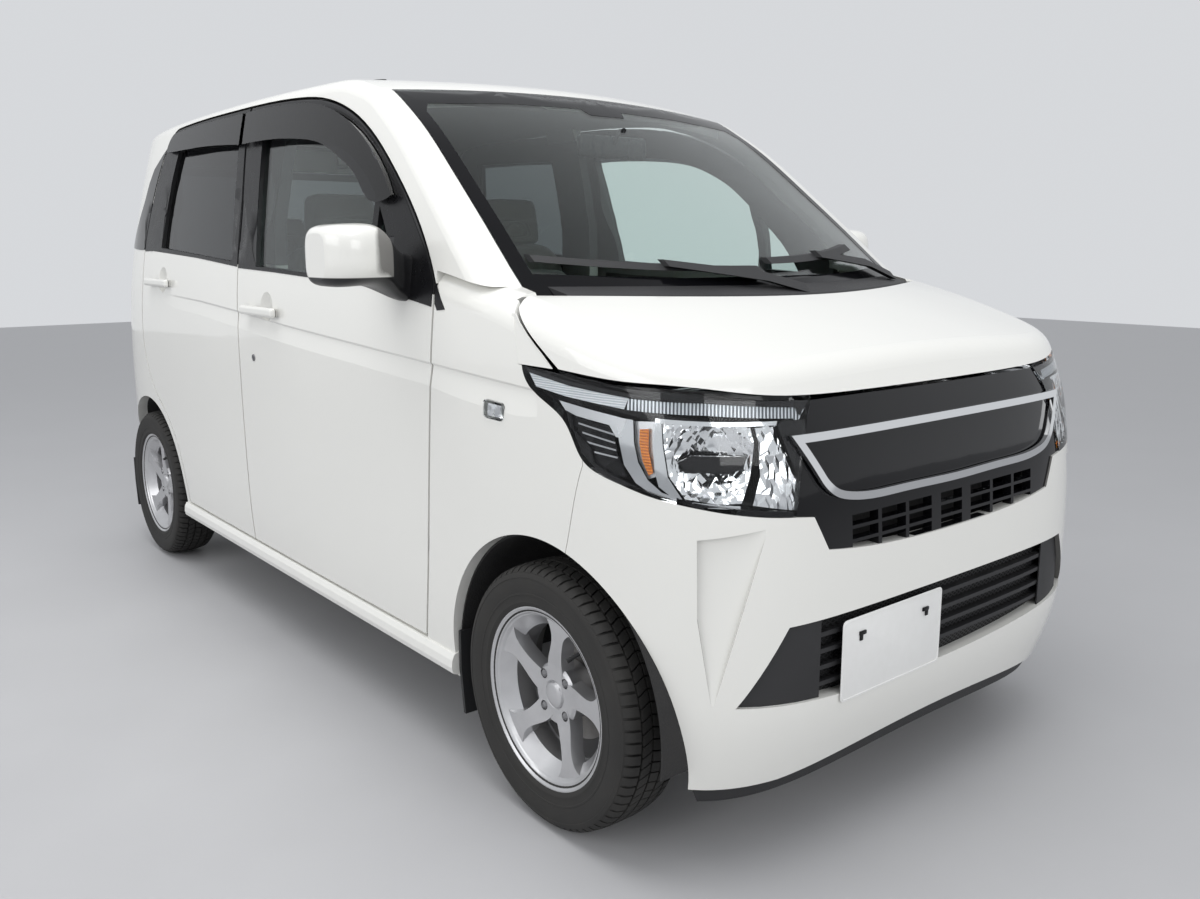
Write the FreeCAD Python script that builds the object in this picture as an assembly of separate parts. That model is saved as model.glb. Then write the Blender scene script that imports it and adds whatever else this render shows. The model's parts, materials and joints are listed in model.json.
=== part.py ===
import FreeCAD
import Part
import math
import os

V = FreeCAD.Vector

# Driving dimensions of the car, in millimetres
wheelbase = 2520.0
front_overhang = 472.5
rear_overhang = 402.5
body_width = 1475.0
body_height = 1655.0
track = 1305.0
tyre_radius = 278.5
tyre_width = 155.0
rim_radius = 178.0
rim_flange_radius = 195.0
front_arch_radius = 342.0
rear_arch_radius = 340.0

# Depths of the body panels
door_depth = 72.0
pillar_depth = 38.0
roof_depth = 35.0
end_depth = 66.0
panel_depth = 30.0
bonnet_depth = 26.0
lamp_depth = 90.0
glass_depth = 5.0
glass_set = 12.0
floor_depth = 28.0
liner_depth = 5.0

# Gaps between the pieces
door_gap = 7.5
lid_gap = 7.5
seat_gap = 0.3
lamp_gap = 2.5
seam = 2.0
overrun = 60.0

# Soft curves of the body
nose_bow = 14.0
tail_bow = 10.0
side_bow = 8.0
roof_bow = 24.0
bonnet_bow = 28.0
screen_bow_top = 70.0
screen_bow_base = 150.0
roof_edge_radius = 46.0
bonnet_edge_radius = 70.0

# Heights of the body over the road
sill_low = 212.0
sill_high = 277.0
liner_low = 232.0
belt = 1120.0
form_low = 86.0
floor_low = 214.0
rear_floor_low = 400.0
tail_floor_low = 440.0

# Centre planes and the places of the axles
half_width = body_width / 2
half_length = (wheelbase + front_overhang + rear_overhang) / 2
front_axle = half_length - front_overhang
rear_axle = rear_overhang - half_length
wheel_plane = track / 2
hub_height = tyre_radius


def along(station):
    """X of a station: 0 is the rear axle, 1 the front axle, 2 the nose and -1 the tail."""
    if station > 1:
        return front_axle + (station - 1) * front_overhang
    if station < 0:
        return rear_axle + station * rear_overhang
    return rear_axle + station * wheelbase


def at(point):
    """X and Z of a point of the side view, given as a station and a share of the height."""
    return along(point[0]), point[1] * body_height


def moved(shape, x, y, z):
    copy = shape.copy()
    copy.translate(V(x, y, z))
    return copy


def mirrored(shape):
    return shape.mirror(V(0, 0, 0), V(0, 1, 0))


def loop_wire(places):
    return Part.makePolygon([V(*p) for p in places + [places[0]]])


def box(x0, x1, y0, y1, z0, z1):
    return Part.makeBox(x1 - x0, y1 - y0, z1 - z0, V(x0, y0, z0))


def slab(points, y0, y1):
    """Prism across the car of a straight sided outline of X and Z."""
    return Part.Face(loop_wire([(x, y0, z) for x, z in points])).extrude(V(0, y1 - y0, 0))


def cylinder(start, end, radius):
    axis = end - start
    return Part.makeCylinder(radius, axis.Length, start, axis)


def chain_edges(chains):
    """Edges of a closed outline: two points give a line, more points give one smooth curve."""
    edges = []
    for points in chains:
        if len(points) == 2:
            edges.append(Part.makeLine(points[0], points[1]))
        else:
            curve = Part.BSplineCurve()
            curve.interpolate(points)
            edges.append(curve.toShape())
    return edges


def one(shape):
    """The single solid of a shape, or a compound of its solids."""
    solids = shape.Solids
    if len(solids) == 1:
        return solids[0]
    return Part.makeCompound(solids)


def steps_along(points, closed=False):
    """Steps of a curve's parameter between points, by distance, so that like curves share their knots."""
    ends = points + [points[0]] if closed else points
    steps = [0.0]
    for a, b in zip(ends[:-1], ends[1:]):
        steps.append(steps[-1] + a.distanceToPoint(b))
    return [step / steps[-1] for step in steps]


def largest(shape):
    return max(shape.Solids, key=lambda solid: solid.Volume)


# Walls: share of the height, set-back shares of the nose and of the tail, share of the half width
wall_shares = [(0.060, 0.170, 0.185, 0.940), (0.097, 0.111, 0.118, 0.955),
               (0.139, 0.062, 0.053, 0.968), (0.199, 0.012, 0.014, 0.982),
               (0.272, 0.000, 0.000, 0.991), (0.363, 0.007, 0.004, 0.997), (0.453, 0.033, 0.019, 1.000),
               (0.526, 0.090, 0.039, 0.999), (0.604, 0.198, 0.063, 0.991), (0.671, 0.270, 0.091, 0.975),
               (0.755, 0.376, 0.135, 0.945), (0.846, 0.481, 0.193, 0.906), (0.924, 0.566, 0.250, 0.868),
               (0.991, 0.630, 0.304, 0.830), (1.051, 0.693, 0.359, 0.792)]
plan_length_shares = [0, .25, .45, .6, .7, .78, .85, .905, .945]
plan_width_shares = [.80, .65, .48, .25]
nose_powers = (12, 6)
tail_powers = (16, 8)


def plan_quarter(reach, half, powers, bow):
    """Points of a rounded plan corner, from the widest place to the middle of the nose or tail."""
    p, q = powers
    end_bow = math.copysign(bow, reach)
    points = []
    for share in plan_length_shares:
        y = half * (1 - share ** p) ** (1 / q) - side_bow * share * share
        points.append((reach * share - end_bow * (y / half) ** 2 * share ** 8, y))
    for share in plan_width_shares:
        x = reach * (1 - share ** q) ** (1 / p)
        points.append((x - end_bow * share * share, half * share - side_bow * (x / reach) ** 2 * share))
    points.append((reach, 0.0))
    return points


def plan_points(row, side_inset, end_inset):
    """Points of the walls' plan at a height, once round the car."""
    z = row[0] * body_height
    nose = half_length - row[1] * front_overhang - end_inset
    tail = -half_length + row[2] * rear_overhang + end_inset
    half = row[3] * half_width - side_inset
    front = plan_quarter(nose, half, nose_powers, nose_bow)
    rear = plan_quarter(tail, half, tail_powers, tail_bow)
    points = [V(x, y, z) for x, y in front]
    points += [V(x, -y, z) for x, y in reversed(front[:-1])]
    points += [V(x, -y, z) for x, y in rear[1:]]
    points += [V(x, y, z) for x, y in reversed(rear[1:-1])]
    return points


plan_steps = steps_along(plan_points(wall_shares[6], 0, 0), True)


def plan_wire(row, side_inset, end_inset):
    curve = Part.BSplineCurve()
    curve.interpolate(Points=plan_points(row, side_inset, end_inset), PeriodicFlag=True,
                      Parameters=plan_steps)
    return Part.Wire([curve.toShape()])


def walls(low_inset=0.0, high_inset=None, end_inset=None):
    """The body's walls as one closed form, inset below and above the belt line."""
    high = low_inset if high_inset is None else high_inset
    end = low_inset if end_inset is None else end_inset
    wires = []
    for row in wall_shares:
        inset = low_inset if row[0] * body_height < belt - overrun / 4 else high
        wires.append(plan_wire(row, inset, end))
    return Part.makeLoft(wires, True, False)


# Middle line of screen, roof and tail: station and share of the height
roof_shares = [(1.709, 0.520), (1.328, 0.595), (0.990, 0.669), (0.919, 0.745), (0.847, 0.821),
               (0.776, 0.894), (0.728, 0.940), (0.700, 0.963), (0.673, 0.978), (0.633, 0.989),
               (0.554, 0.996), (0.395, 1.000), (0.196, 0.998), (0.038, 0.991), (-0.509, 0.979),
               (-1.155, 0.964)]
screen_foot_share = 0.669
screen_head_share = 0.967
header_share = 0.673
bow_width = 0.895 * half_width
crown_width = 0.8136 * half_width
roof_steps = steps_along([V(at(point)[0], 0, at(point)[1]) for point in roof_shares])
roof_width_shares = [-1.06, -0.81, -0.54, -0.27, 0, 0.27, 0.54, 0.81, 1.06]


def closed_down(points, y, low, steps):
    """Wire of a smooth top line closed by straight sides and a level bottom."""
    first, last = points[0], points[-1]
    corner_a, corner_b = V(last.x, y, low), V(first.x, y, low)
    curve = Part.BSplineCurve()
    curve.interpolate(Points=points, Parameters=steps)
    edges = [curve.toShape()] + chain_edges([[last, corner_a], [corner_a, corner_b], [corner_b, first]])
    return Part.Wire(edges)


def roof_wire(y):
    points = []
    for station, share in roof_shares:
        x, z = at((station, share))
        crown = roof_bow * (y / crown_width) ** 2
        if station >= header_share:
            k = (screen_head_share - share) / (screen_head_share - screen_foot_share)
            k = min(1, max(0, k))
            bow = screen_bow_top + (screen_bow_base - screen_bow_top) * k
            x -= bow * (y / bow_width) ** 2
            crown *= max(0, 1 - (station - header_share) * wheelbase / (4 * screen_bow_top))
        elif station > 0.6:
            x -= screen_bow_top / 2 * (y / bow_width) ** 2
        points.append(V(x, y, z - crown))
    return closed_down(points, y, form_low, roof_steps)


def greenhouse():
    """Closed form under the screen and the roof, wider than the body."""
    return Part.makeLoft([roof_wire(share * half_width) for share in roof_width_shares], True, False)


# Middle line of the bonnet: station and share of the height
bonnet_shares = [(2.217, 0.559), (2.005, 0.578), (1.794, 0.597), (1.582, 0.616), (1.370, 0.634),
                 (1.116, 0.655), (0.962, 0.677), (0.891, 0.698), (0.752, 0.725)]
bonnet_steps = steps_along([V(at(point)[0], 0, at(point)[1]) for point in bonnet_shares])
bonnet_width_shares = [-1.06, -0.705, -0.353, 0, 0.353, 0.705, 1.06]
bonnet_crown_width = 0.881 * half_width


def bonnet_wire(y):
    points = []
    for point in bonnet_shares:
        x, z = at(point)
        points.append(V(x, y, z - bonnet_bow * (y / bonnet_crown_width) ** 2))
    return closed_down(points, y, form_low, bonnet_steps)


def front_block():
    """Closed form under the bonnet, wider than the body."""
    return Part.makeLoft([bonnet_wire(share * half_width) for share in bonnet_width_shares], True, False)


def side_places(shares, shift=0.0):
    return [V(along(station) + shift, 0, share * body_height) for station, share in shares]


def widened(chains, normal, gap):
    """Chains of a closed flat outline, each moved outwards by a gap and joined again at the corners."""
    corners = [points[0] for points in chains]
    turn = sum((corners[i].cross(corners[(i + 1) % len(corners)])).dot(normal) for i in range(len(corners)))
    side = gap if turn > 0 else -gap
    lines = []
    for points in chains:
        curve = Part.BSplineCurve()
        curve.interpolate(points)
        steps = [curve.parameter(point) for point in points]
        tangents = [curve.tangent(step)[0] for step in steps]
        lines.append(([point + t.cross(normal) * side for point, t in zip(points, tangents)], tangents))
    result = []
    for i, (points, tangents) in enumerate(lines):
        before, before_tangents = lines[i - 1]
        after, after_tangents = lines[(i + 1) % len(lines)]
        points = list(points)
        points[0] = crossing(before[-1], before_tangents[-1], points[0], tangents[0], normal)
        points[-1] = crossing(points[-1], tangents[-1], after[0], after_tangents[0], normal)
        result.append(points)
    return result


def crossing(a, along_a, b, along_b, normal):
    """Point where two lines of a plane meet, or the middle of their ends if they run alike."""
    spread = along_a.cross(along_b).dot(normal)
    if abs(spread) < 0.05:
        return (a + b) * 0.5
    return a + along_a * ((b - a).cross(along_b).dot(normal) / spread)


def prism(chains, y0, y1, gap=0.0):
    """Prism across the car of a closed side view outline, widened by a gap."""
    across = V(0, 1, 0)
    flat = [[V(p.x, y0, p.z) for p in points] for points in chains]
    if gap:
        flat = [[V(p.x, 0, p.z) for p in points] for points in chains]
        flat = [[p + across * y0 for p in points] for points in widened(flat, across, gap)]
    return Part.Face(Part.Wire(chain_edges(flat))).extrude(across * (y1 - y0))


def long_prism(chains, x0, x1, gap=0.0):
    """Prism along the car of a closed front view outline in shares, widened by a gap."""
    ahead = V(1, 0, 0)
    flat = [[V(0, y * half_width, z * body_height) for y, z in points] for points in chains]
    if gap:
        flat = widened(flat, ahead, gap)
    flat = [[p + ahead * x0 for p in points] for points in flat]
    return Part.Face(Part.Wire(chain_edges(flat))).extrude(ahead * (x1 - x0))


# Outlines of the side view: station and share of the height
front_edge_shares = [(0.813, 0.167), (0.825, 0.254), (0.835, 0.375), (0.843, 0.515), (0.845, 0.604),
                     (0.845, 0.671)]
front_top_shares = [(0.845, 0.671), (0.827, 0.713), (0.773, 0.795), (0.748, 0.825), (0.702, 0.874),
                    (0.657, 0.910), (0.611, 0.935), (0.564, 0.951), (0.498, 0.961), (0.415, 0.966),
                    (0.362, 0.967)]
pillar_shares = [(0.362, 0.967), (0.364, 0.912), (0.379, 0.801), (0.386, 0.679), (0.394, 0.530),
                 (0.395, 0.361), (0.393, 0.167)]
rear_low_shares = [(0.149, 0.167), (0.144, 0.218), (0.123, 0.296), (0.083, 0.356), (0.042, 0.399),
                   (0.013, 0.459), (0.002, 0.544), (0.004, 0.604), (0.006, 0.663)]
rear_high_shares = [(0.006, 0.663), (0.007, 0.713), (0.022, 0.816), (0.046, 0.900), (0.069, 0.943),
                    (0.093, 0.960)]
rear_top_shares = [(0.093, 0.960), (0.196, 0.966), (0.276, 0.967), (0.362, 0.967)]
front_window_shares = [[(0.442, 0.682), (0.720, 0.669)], [(0.720, 0.669), (0.720, 0.793)],
                       [(0.720, 0.793), (0.690, 0.827), (0.652, 0.856), (0.601, 0.883), (0.538, 0.898),
                        (0.474, 0.905), (0.416, 0.906)], [(0.416, 0.906), (0.442, 0.682)]]
corner_window_shares = [[(0.731, 0.672), (0.788, 0.668)], [(0.788, 0.668), (0.731, 0.776)],
                        [(0.731, 0.776), (0.731, 0.672)]]
rear_window_shares = [[(0.365, 0.689), (0.087, 0.712)], [(0.087, 0.712), (0.091, 0.785), (0.113, 0.921)],
                      [(0.113, 0.921), (0.342, 0.908)], [(0.342, 0.908), (0.365, 0.689)]]
bonnet_side_shares = [(0.950, 0.676), (0.965, 0.645), (0.978, 0.586)]
bonnet_low_shares = [(0.978, 0.586), (1.142, 0.582), (1.483, 0.576), (1.745, 0.569), (1.868, 0.556),
                     (2.090, 0.551)]
bumper_split_shares = [(1.286, 0.477), (1.229, 0.423), (1.188, 0.376), (1.138, 0.338)]

# Outlines of the front view: shares of the half width and of the height
grille_shares = [[(0.537, 0.552), (0.590, 0.512), (0.620, 0.470), (0.641, 0.430)],
                 [(0.641, 0.430), (0.586, 0.427)], [(0.586, 0.427), (0.538, 0.387)],
                 [(0.538, 0.387), (0.339, 0.378), (0.000, 0.374), (-0.339, 0.378), (-0.538, 0.387)],
                 [(-0.538, 0.387), (-0.586, 0.427)], [(-0.586, 0.427), (-0.641, 0.430)],
                 [(-0.641, 0.430), (-0.620, 0.470), (-0.590, 0.512), (-0.537, 0.552)],
                 [(-0.537, 0.552), (0.537, 0.552)]]
frame_shares = [[(-0.644, 0.519), (0.644, 0.519)], [(0.644, 0.519), (0.572, 0.470)],
                [(0.572, 0.470), (0.549, 0.457), (0.518, 0.447), (0.470, 0.4405), (0.250, 0.4355),
                 (0.000, 0.434), (-0.250, 0.4355), (-0.470, 0.4405), (-0.518, 0.447), (-0.549, 0.457),
                 (-0.572, 0.470)], [(-0.572, 0.470), (-0.644, 0.519)]]
intake_shares = [[(-0.667, 0.308), (0.667, 0.308)], [(0.667, 0.308), (0.797, 0.221)],
                 [(0.797, 0.221), (0.523, 0.211), (0.000, 0.202), (-0.523, 0.211), (-0.797, 0.221)],
                 [(-0.797, 0.221), (-0.667, 0.308)]]
screen_shares = [[(-0.872, 0.650), (-0.862, 0.689), (-0.785, 0.952)],
                 [(-0.785, 0.952), (0.0, 0.965), (0.785, 0.952)],
                 [(0.785, 0.952), (0.862, 0.689), (0.872, 0.650)], [(0.872, 0.650), (-0.872, 0.650)]]
tailgate_shares = [[(-0.800, 0.340), (-0.830, 0.480), (-0.835, 0.640), (-0.800, 0.800), (-0.745, 0.960)],
                   [(-0.745, 0.960), (-0.740, 1.05)], [(-0.740, 1.05), (0.740, 1.05)],
                   [(0.740, 1.05), (0.745, 0.960)],
                   [(0.745, 0.960), (0.800, 0.800), (0.835, 0.640), (0.830, 0.480), (0.800, 0.340)],
                   [(0.800, 0.340), (-0.800, 0.340)]]
back_window_shares = [[(-0.700, 0.655), (-0.660, 0.905)], [(-0.660, 0.905), (0.660, 0.905)],
                      [(0.660, 0.905), (0.700, 0.655)], [(0.700, 0.655), (-0.700, 0.655)]]
lamp_shares = [[(0.980, 0.984, 0.586), (0.991, 0.987, 0.558), (1.178, 0.982, 0.524), (1.294, 0.978, 0.482),
                (1.466, 0.961, 0.465), (1.601, 0.937, 0.456), (1.747, 0.885, 0.448), (1.853, 0.809, 0.440),
                (1.942, 0.641, 0.430)], [(1.942, 0.641, 0.430), (1.929, 0.620, 0.470),
                                         (1.904, 0.590, 0.512), (1.868, 0.546, 0.547)],
               [(1.868, 0.546, 0.547), (1.868, 0.546, 0.600)],
               [(1.868, 0.546, 0.600), (0.980, 0.984, 0.600)],
               [(0.980, 0.984, 0.600), (0.980, 0.984, 0.586)]]


# The whole body: the cabin part and the nose part, with their inner faces
wall_form = walls()
roof_form = greenhouse()
bonnet_form = front_block()
cabin_form = wall_form.common(roof_form)
eaves = [edge for edge in cabin_form.Edges
         if edge.BoundBox.ZMax > 0.967 * body_height and edge.BoundBox.ZMin > 0.48 * body_height]
cabin_form = cabin_form.makeFillet(roof_edge_radius, eaves)
nose_form = wall_form.common(bonnet_form)
rim = [edge for edge in nose_form.Edges
       if edge.Length > 1.9 * body_width and edge.BoundBox.ZMax > 0.66 * body_height]
nose_form = nose_form.makeFillet(bonnet_edge_radius, rim)


def hollowed(form, room):
    """A closed form with a closed room inside it."""
    return Part.makeSolid(Part.makeCompound([form.Shells[0], room.Shells[0].reversed()]))


room_low = 0.075 * body_height
room_span = box(-half_length, half_length, -half_width, half_width, room_low, body_height)
cabin_room = walls(door_depth, pillar_depth, end_depth).common(moved(roof_form, -pillar_depth, 0,
                                                                     -roof_depth))
cabin_room = cabin_room.common(room_span)
cabin_shell = hollowed(cabin_form, cabin_room)
nose_room = walls(panel_depth).common(moved(bonnet_form, overrun / 4, 0, -bonnet_depth)).common(room_span)
nose_shell = hollowed(nose_form, nose_room)


def layer(inset, depth):
    """A closed skin that follows the walls at an inset, as deep as given."""
    return hollowed(walls(inset), walls(inset + depth).common(room_span))


def back_room(form, side, down):
    """A closed room at a depth behind the nose's faces."""
    return hollowed(form, walls(side).common(moved(bonnet_form, overrun / 4, 0, -down)).common(room_span))


nodes = {}
right_y = -half_width - overrun

# Crease of the side: it stands over a shallow hollow that fades out downwards and to the rear
crease_shares = [(1.010, 0.5550, 1.0), (0.839, 0.5668, 1.0), (0.691, 0.5770, 1.0), (0.5325, 0.5880, 1.0),
                 (0.399, 0.6005, 0.85), (0.2575, 0.6110, 0.55), (0.060, 0.6190, -0.15)]
crease_depth = 5.0
crease_edge = 6.0
crease_fade = 62.0
crease_lift = 1.2


def on_skin(place, way):
    """Point where a line through a place, looking outwards, leaves the body's walls."""
    line = Part.makeLine(place - way * overrun * 3, place + way * overrun * 3)
    return max((vertex.Point for vertex in line.common(wall_form).Vertexes),
               key=lambda point: point.dot(way))


def crease_cutter():
    """Long wedge below the crease, one straight sided section at each station."""
    wires = []
    outwards = V(0, -1, 0)
    for station, share, depth_share in crease_shares:
        x, z = at((station, share))
        edge = on_skin(V(x, -half_width, z), outwards)
        hollow = on_skin(V(x, -half_width, z - crease_edge),
                         outwards) - outwards * crease_depth * depth_share
        fade = on_skin(V(x, -half_width, z - crease_fade), outwards) + outwards * crease_lift
        beyond = V(x, edge.y - overrun, edge.z)
        wires.append(loop_wire([edge, hollow, fade, V(x, beyond.y, fade.z), beyond]))
    return Part.makeLoft(wires, True, True)


crease = crease_cutter()

# Doors: outlines of the doors and their windows
front_line = side_places(front_edge_shares)
top_line = side_places(front_top_shares)
post_ahead = side_places(pillar_shares, door_gap / 2)
post_behind = side_places(pillar_shares, -door_gap / 2)
rear_top_line = side_places(rear_top_shares)
front_door_outline = [front_line, top_line[:-1] + [post_ahead[0]], post_ahead,
                      [post_ahead[-1], front_line[0]]]
rear_line = side_places(rear_low_shares)
rear_door_outline = [rear_line, side_places(rear_high_shares), rear_top_line[:-1] + [post_behind[0]],
                     post_behind, [post_behind[-1], rear_line[0]]]
door_inner_plane = -0.78 * half_width
opening_inner_plane = -0.76 * half_width
glass_skin = layer(glass_set, glass_depth)


def outline(shares):
    return [side_places(points) for points in shares]


# Hinges: the doors turn about upright pins near the skin, held by arms of the posts behind them
hinge_inset = 19.5
front_hinge_x = 745.0
rear_hinge_x = -381.0
front_hinge_reach = 91.5
rear_hinge_reach = 80.5
hinge_heights = (520.0, 800.0)
hinge_pin_radius = 5.0
hinge_eye_radius = 8.8
hinge_arm_depth = 40.0
hinge_pocket_depth = 52.0
pin_gap = 0.3
post_plane = 616.0
step_depth = 32.0
step_gap = 4.0
hinge_y = -half_width + hinge_inset


def corner_trim(x, reach):
    """What a door loses inside its front edge, so that the edge turns clear of the post."""
    square = box(x, x + 2 * reach, hinge_y, hinge_y + 2 * reach, 0, body_height)
    return square.cut(cylinder(V(x, hinge_y, 0), V(x, hinge_y, body_height), reach))


def hinge_pockets(x, reach):
    """Pockets of a door that leave room for the hinge arms."""
    pockets = []
    for height in hinge_heights:
        low = height - hinge_pocket_depth / 2
        pockets.append(box(x - 1.6 * hinge_eye_radius, x + 2 * reach,
                           hinge_y - hinge_eye_radius - pin_gap * 2, hinge_y + 2 * reach, low,
                           low + hinge_pocket_depth))
    return Part.makeCompound(pockets)


def hinge_pins(x):
    """Pins of a door, reaching into its walls above and below each pocket."""
    reach = 0.7 * hinge_pocket_depth
    return [cylinder(V(x, hinge_y, height - reach), V(x, hinge_y, height + reach), hinge_pin_radius)
            for height in hinge_heights]


def hinge_arms(x, inner):
    """Arms from a post at an inner plane to the eyes round a door's pins."""
    arms = []
    for height in hinge_heights:
        low = height - hinge_arm_depth / 2
        eye = Part.makeCylinder(hinge_eye_radius, hinge_arm_depth, V(x, hinge_y, low))
        arm = box(x - hinge_eye_radius, x + hinge_eye_radius, hinge_y, inner, low, low + hinge_arm_depth)
        bore = Part.makeCylinder(hinge_pin_radius + pin_gap, hinge_arm_depth, V(x, hinge_y, low))
        arms.append(eye.fuse(arm).cut(bore))
    return arms


# Handles: a bar across a round finger recess
handle_length = 240.0
handle_height = 27.0
handle_depth = 20.0
handle_proud = 27.0
handle_round = 9.0
recess_radius = 70.0
recess_reach = 46.0
front_handle = V(-112.0, 0, 1003.0)
rear_handle = V(-1064.0, 0, 1057.0)


def wall_half(height):
    """Half width of the walls at a height between two rows."""
    for low, high in zip(wall_shares[:-1], wall_shares[1:]):
        if low[0] * body_height <= height <= high[0] * body_height:
            k = (height / body_height - low[0]) / (high[0] - low[0])
            return half_width * (low[3] + (high[3] - low[3]) * k)
    return half_width


def with_handle(door, place):
    """A right door with its handle, centred at a place of the side view."""
    skin = -wall_half(place.z) + side_bow * (place.x / half_length) ** 2
    depth = math.sqrt(recess_radius ** 2 - recess_reach ** 2)
    bowl = Part.makeSphere(recess_radius,
                           V(place.x + 0.1 * handle_length, skin - depth, place.z + 0.6 * handle_height))
    bar = box(place.x - handle_length / 2, place.x + handle_length / 2, skin - handle_proud,
              skin - handle_proud + handle_depth, place.z - handle_height / 2, place.z + handle_height / 2)
    bar = bar.makeFillet(handle_round, bar.Edges)
    door = door.cut(bowl).fuse(bar)
    for end in (-1, 1):
        foot_x = place.x + end * (handle_length / 2 - 1.4 * handle_height)
        foot = box(foot_x - 0.8 * handle_height, foot_x + 0.8 * handle_height,
                   skin - handle_proud + handle_depth / 2, skin + handle_depth / 2,
                   place.z - 0.36 * handle_height, place.z + 0.36 * handle_height)
        door = door.fuse(foot)
    return door


front_door = cabin_shell.common(prism(front_door_outline, right_y, door_inner_plane)).cut(crease)
door_step = prism(rear_door_outline, -half_width + step_depth, door_inner_plane, door_gap + step_gap)
front_door = front_door.cut(door_step)
front_door = front_door.cut(corner_trim(front_hinge_x, front_hinge_reach))
front_door = front_door.cut(hinge_pockets(front_hinge_x, front_hinge_reach))
front_door = with_handle(front_door.multiFuse(hinge_pins(front_hinge_x)), front_handle)
rear_door = cabin_shell.common(prism(rear_door_outline, right_y, door_inner_plane)).cut(crease)
rear_door = rear_door.cut(corner_trim(rear_hinge_x, rear_hinge_reach))
rear_door = rear_door.cut(hinge_pockets(rear_hinge_x, rear_hinge_reach))
rear_door = with_handle(rear_door.multiFuse(hinge_pins(rear_hinge_x)), rear_handle)
for window in (front_window_shares, corner_window_shares):
    front_door = front_door.cut(prism(outline(window), right_y, 0))
rear_door = rear_door.cut(prism(outline(rear_window_shares), right_y, 0))
front_panes = [glass_skin.common(prism(outline(window), right_y, door_inner_plane * 0.9, -seat_gap))
               for window in (front_window_shares, corner_window_shares)]
rear_pane = glass_skin.common(prism(outline(rear_window_shares), right_y, door_inner_plane * 0.9, -seat_gap))

front_opening = prism(front_door_outline, right_y, opening_inner_plane, door_gap)
rear_opening = prism(rear_door_outline, right_y, opening_inner_plane, door_gap)

# Roof, screen and side frames
roof_seam = 0.69 * half_width
tail_split_x = along(-0.30)
header_x = along(0.68)
screen_cut = long_prism(screen_shares, header_x, half_length)
screen_slope = V(0.563, 0, 0.827)
screen = roof_form.common(long_prism(screen_shares, header_x, half_length, -seat_gap))
screen = screen.cut(moved(roof_form, -screen_slope.x * glass_depth, 0, -screen_slope.z * glass_depth))
tail_cut = long_prism(tailgate_shares, -half_length - overrun, tail_split_x + lid_gap, lid_gap)
tail_form = long_prism(tailgate_shares, -half_length - overrun, tail_split_x)
bumper_top = 0.355 * body_height
bumper_low = 0.112 * body_height
rear_bumper_x = along(-0.42)
rear_bumper_block = box(-half_length - overrun, rear_bumper_x, -half_width, half_width, bumper_low,
                        bumper_top)

front_arch = cylinder(V(front_axle, -half_width - overrun, hub_height),
                      V(front_axle, -0.60 * half_width, hub_height), front_arch_radius)
rear_arch = cylinder(V(rear_axle, -half_width - overrun, hub_height),
                     V(rear_axle, -0.60 * half_width, hub_height), rear_arch_radius)

ledge_shares = [(0.950, 0.1285), (0.9835, 0.1330), (0.9890, 0.1420), (0.9870, 0.1530), (0.9780, 0.1615),
                (0.950, 0.1640)]
ledge_round = 5.0
front_ledge_x = front_axle - 0.988 * front_arch_radius
rear_ledge_x = rear_axle + 0.992 * rear_arch_radius


def sill_ledge(x0, x1):
    """Rounded ledge along the sill below the right doors."""
    wire = loop_wire([(x0, -y * half_width, z * body_height) for y, z in ledge_shares])
    bar = Part.Face(wire).extrude(V(x1 - x0, 0, 0))
    long_edges = [edge for edge in bar.Edges
                  if edge.Length > 0.9 * (x1 - x0) and edge.BoundBox.YMin < -0.97 * half_width]
    return bar.makeFillet(ledge_round, long_edges)


roof_panel = cabin_shell.common(box(tail_split_x + lid_gap, along(0.80), -roof_seam, roof_seam, belt,
                                    body_height))
roof_panel = roof_panel.cut(screen_cut)

fender_line = side_places(front_edge_shares, door_gap)
top_z = 0.85 * body_height
split_line = side_places(bumper_split_shares)
fender_low = V(fender_line[0].x, 0, sill_low)
fender_outline = [[fender_low, fender_line[0]], fender_line,
                  [fender_line[-1], V(fender_line[-1].x, 0, top_z)],
                  [V(fender_line[-1].x, 0, top_z), V(split_line[0].x, 0, top_z)],
                  [V(split_line[0].x, 0, top_z), split_line[0]], split_line,
                  [split_line[-1], V(split_line[-1].x, 0, sill_low)],
                  [V(split_line[-1].x, 0, sill_low), fender_low]]
nose_end = V(half_length + overrun, 0, 0)
bumper_line = side_places(bumper_split_shares, seam)
bumper_outline = [[bumper_line[-1], V(bumper_line[-1].x, 0, bumper_low)],
                  [V(bumper_line[-1].x, 0, bumper_low), V(nose_end.x, 0, bumper_low)],
                  [V(nose_end.x, 0, bumper_low), V(nose_end.x, 0, top_z)],
                  [V(nose_end.x, 0, top_z), V(bumper_line[0].x, 0, top_z)],
                  [V(bumper_line[0].x, 0, top_z), bumper_line[0]], bumper_line]
bonnet_side = side_places(bonnet_side_shares)
bonnet_low = side_places(bonnet_low_shares)
bonnet_outline = [bonnet_side, bonnet_low, [bonnet_low[-1], V(bonnet_low[-1].x, 0, top_z)],
                  [V(bonnet_low[-1].x, 0, top_z), V(bonnet_side[0].x - overrun, 0, top_z)],
                  [V(bonnet_side[0].x - overrun, 0, top_z), bonnet_side[0]]]

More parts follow.
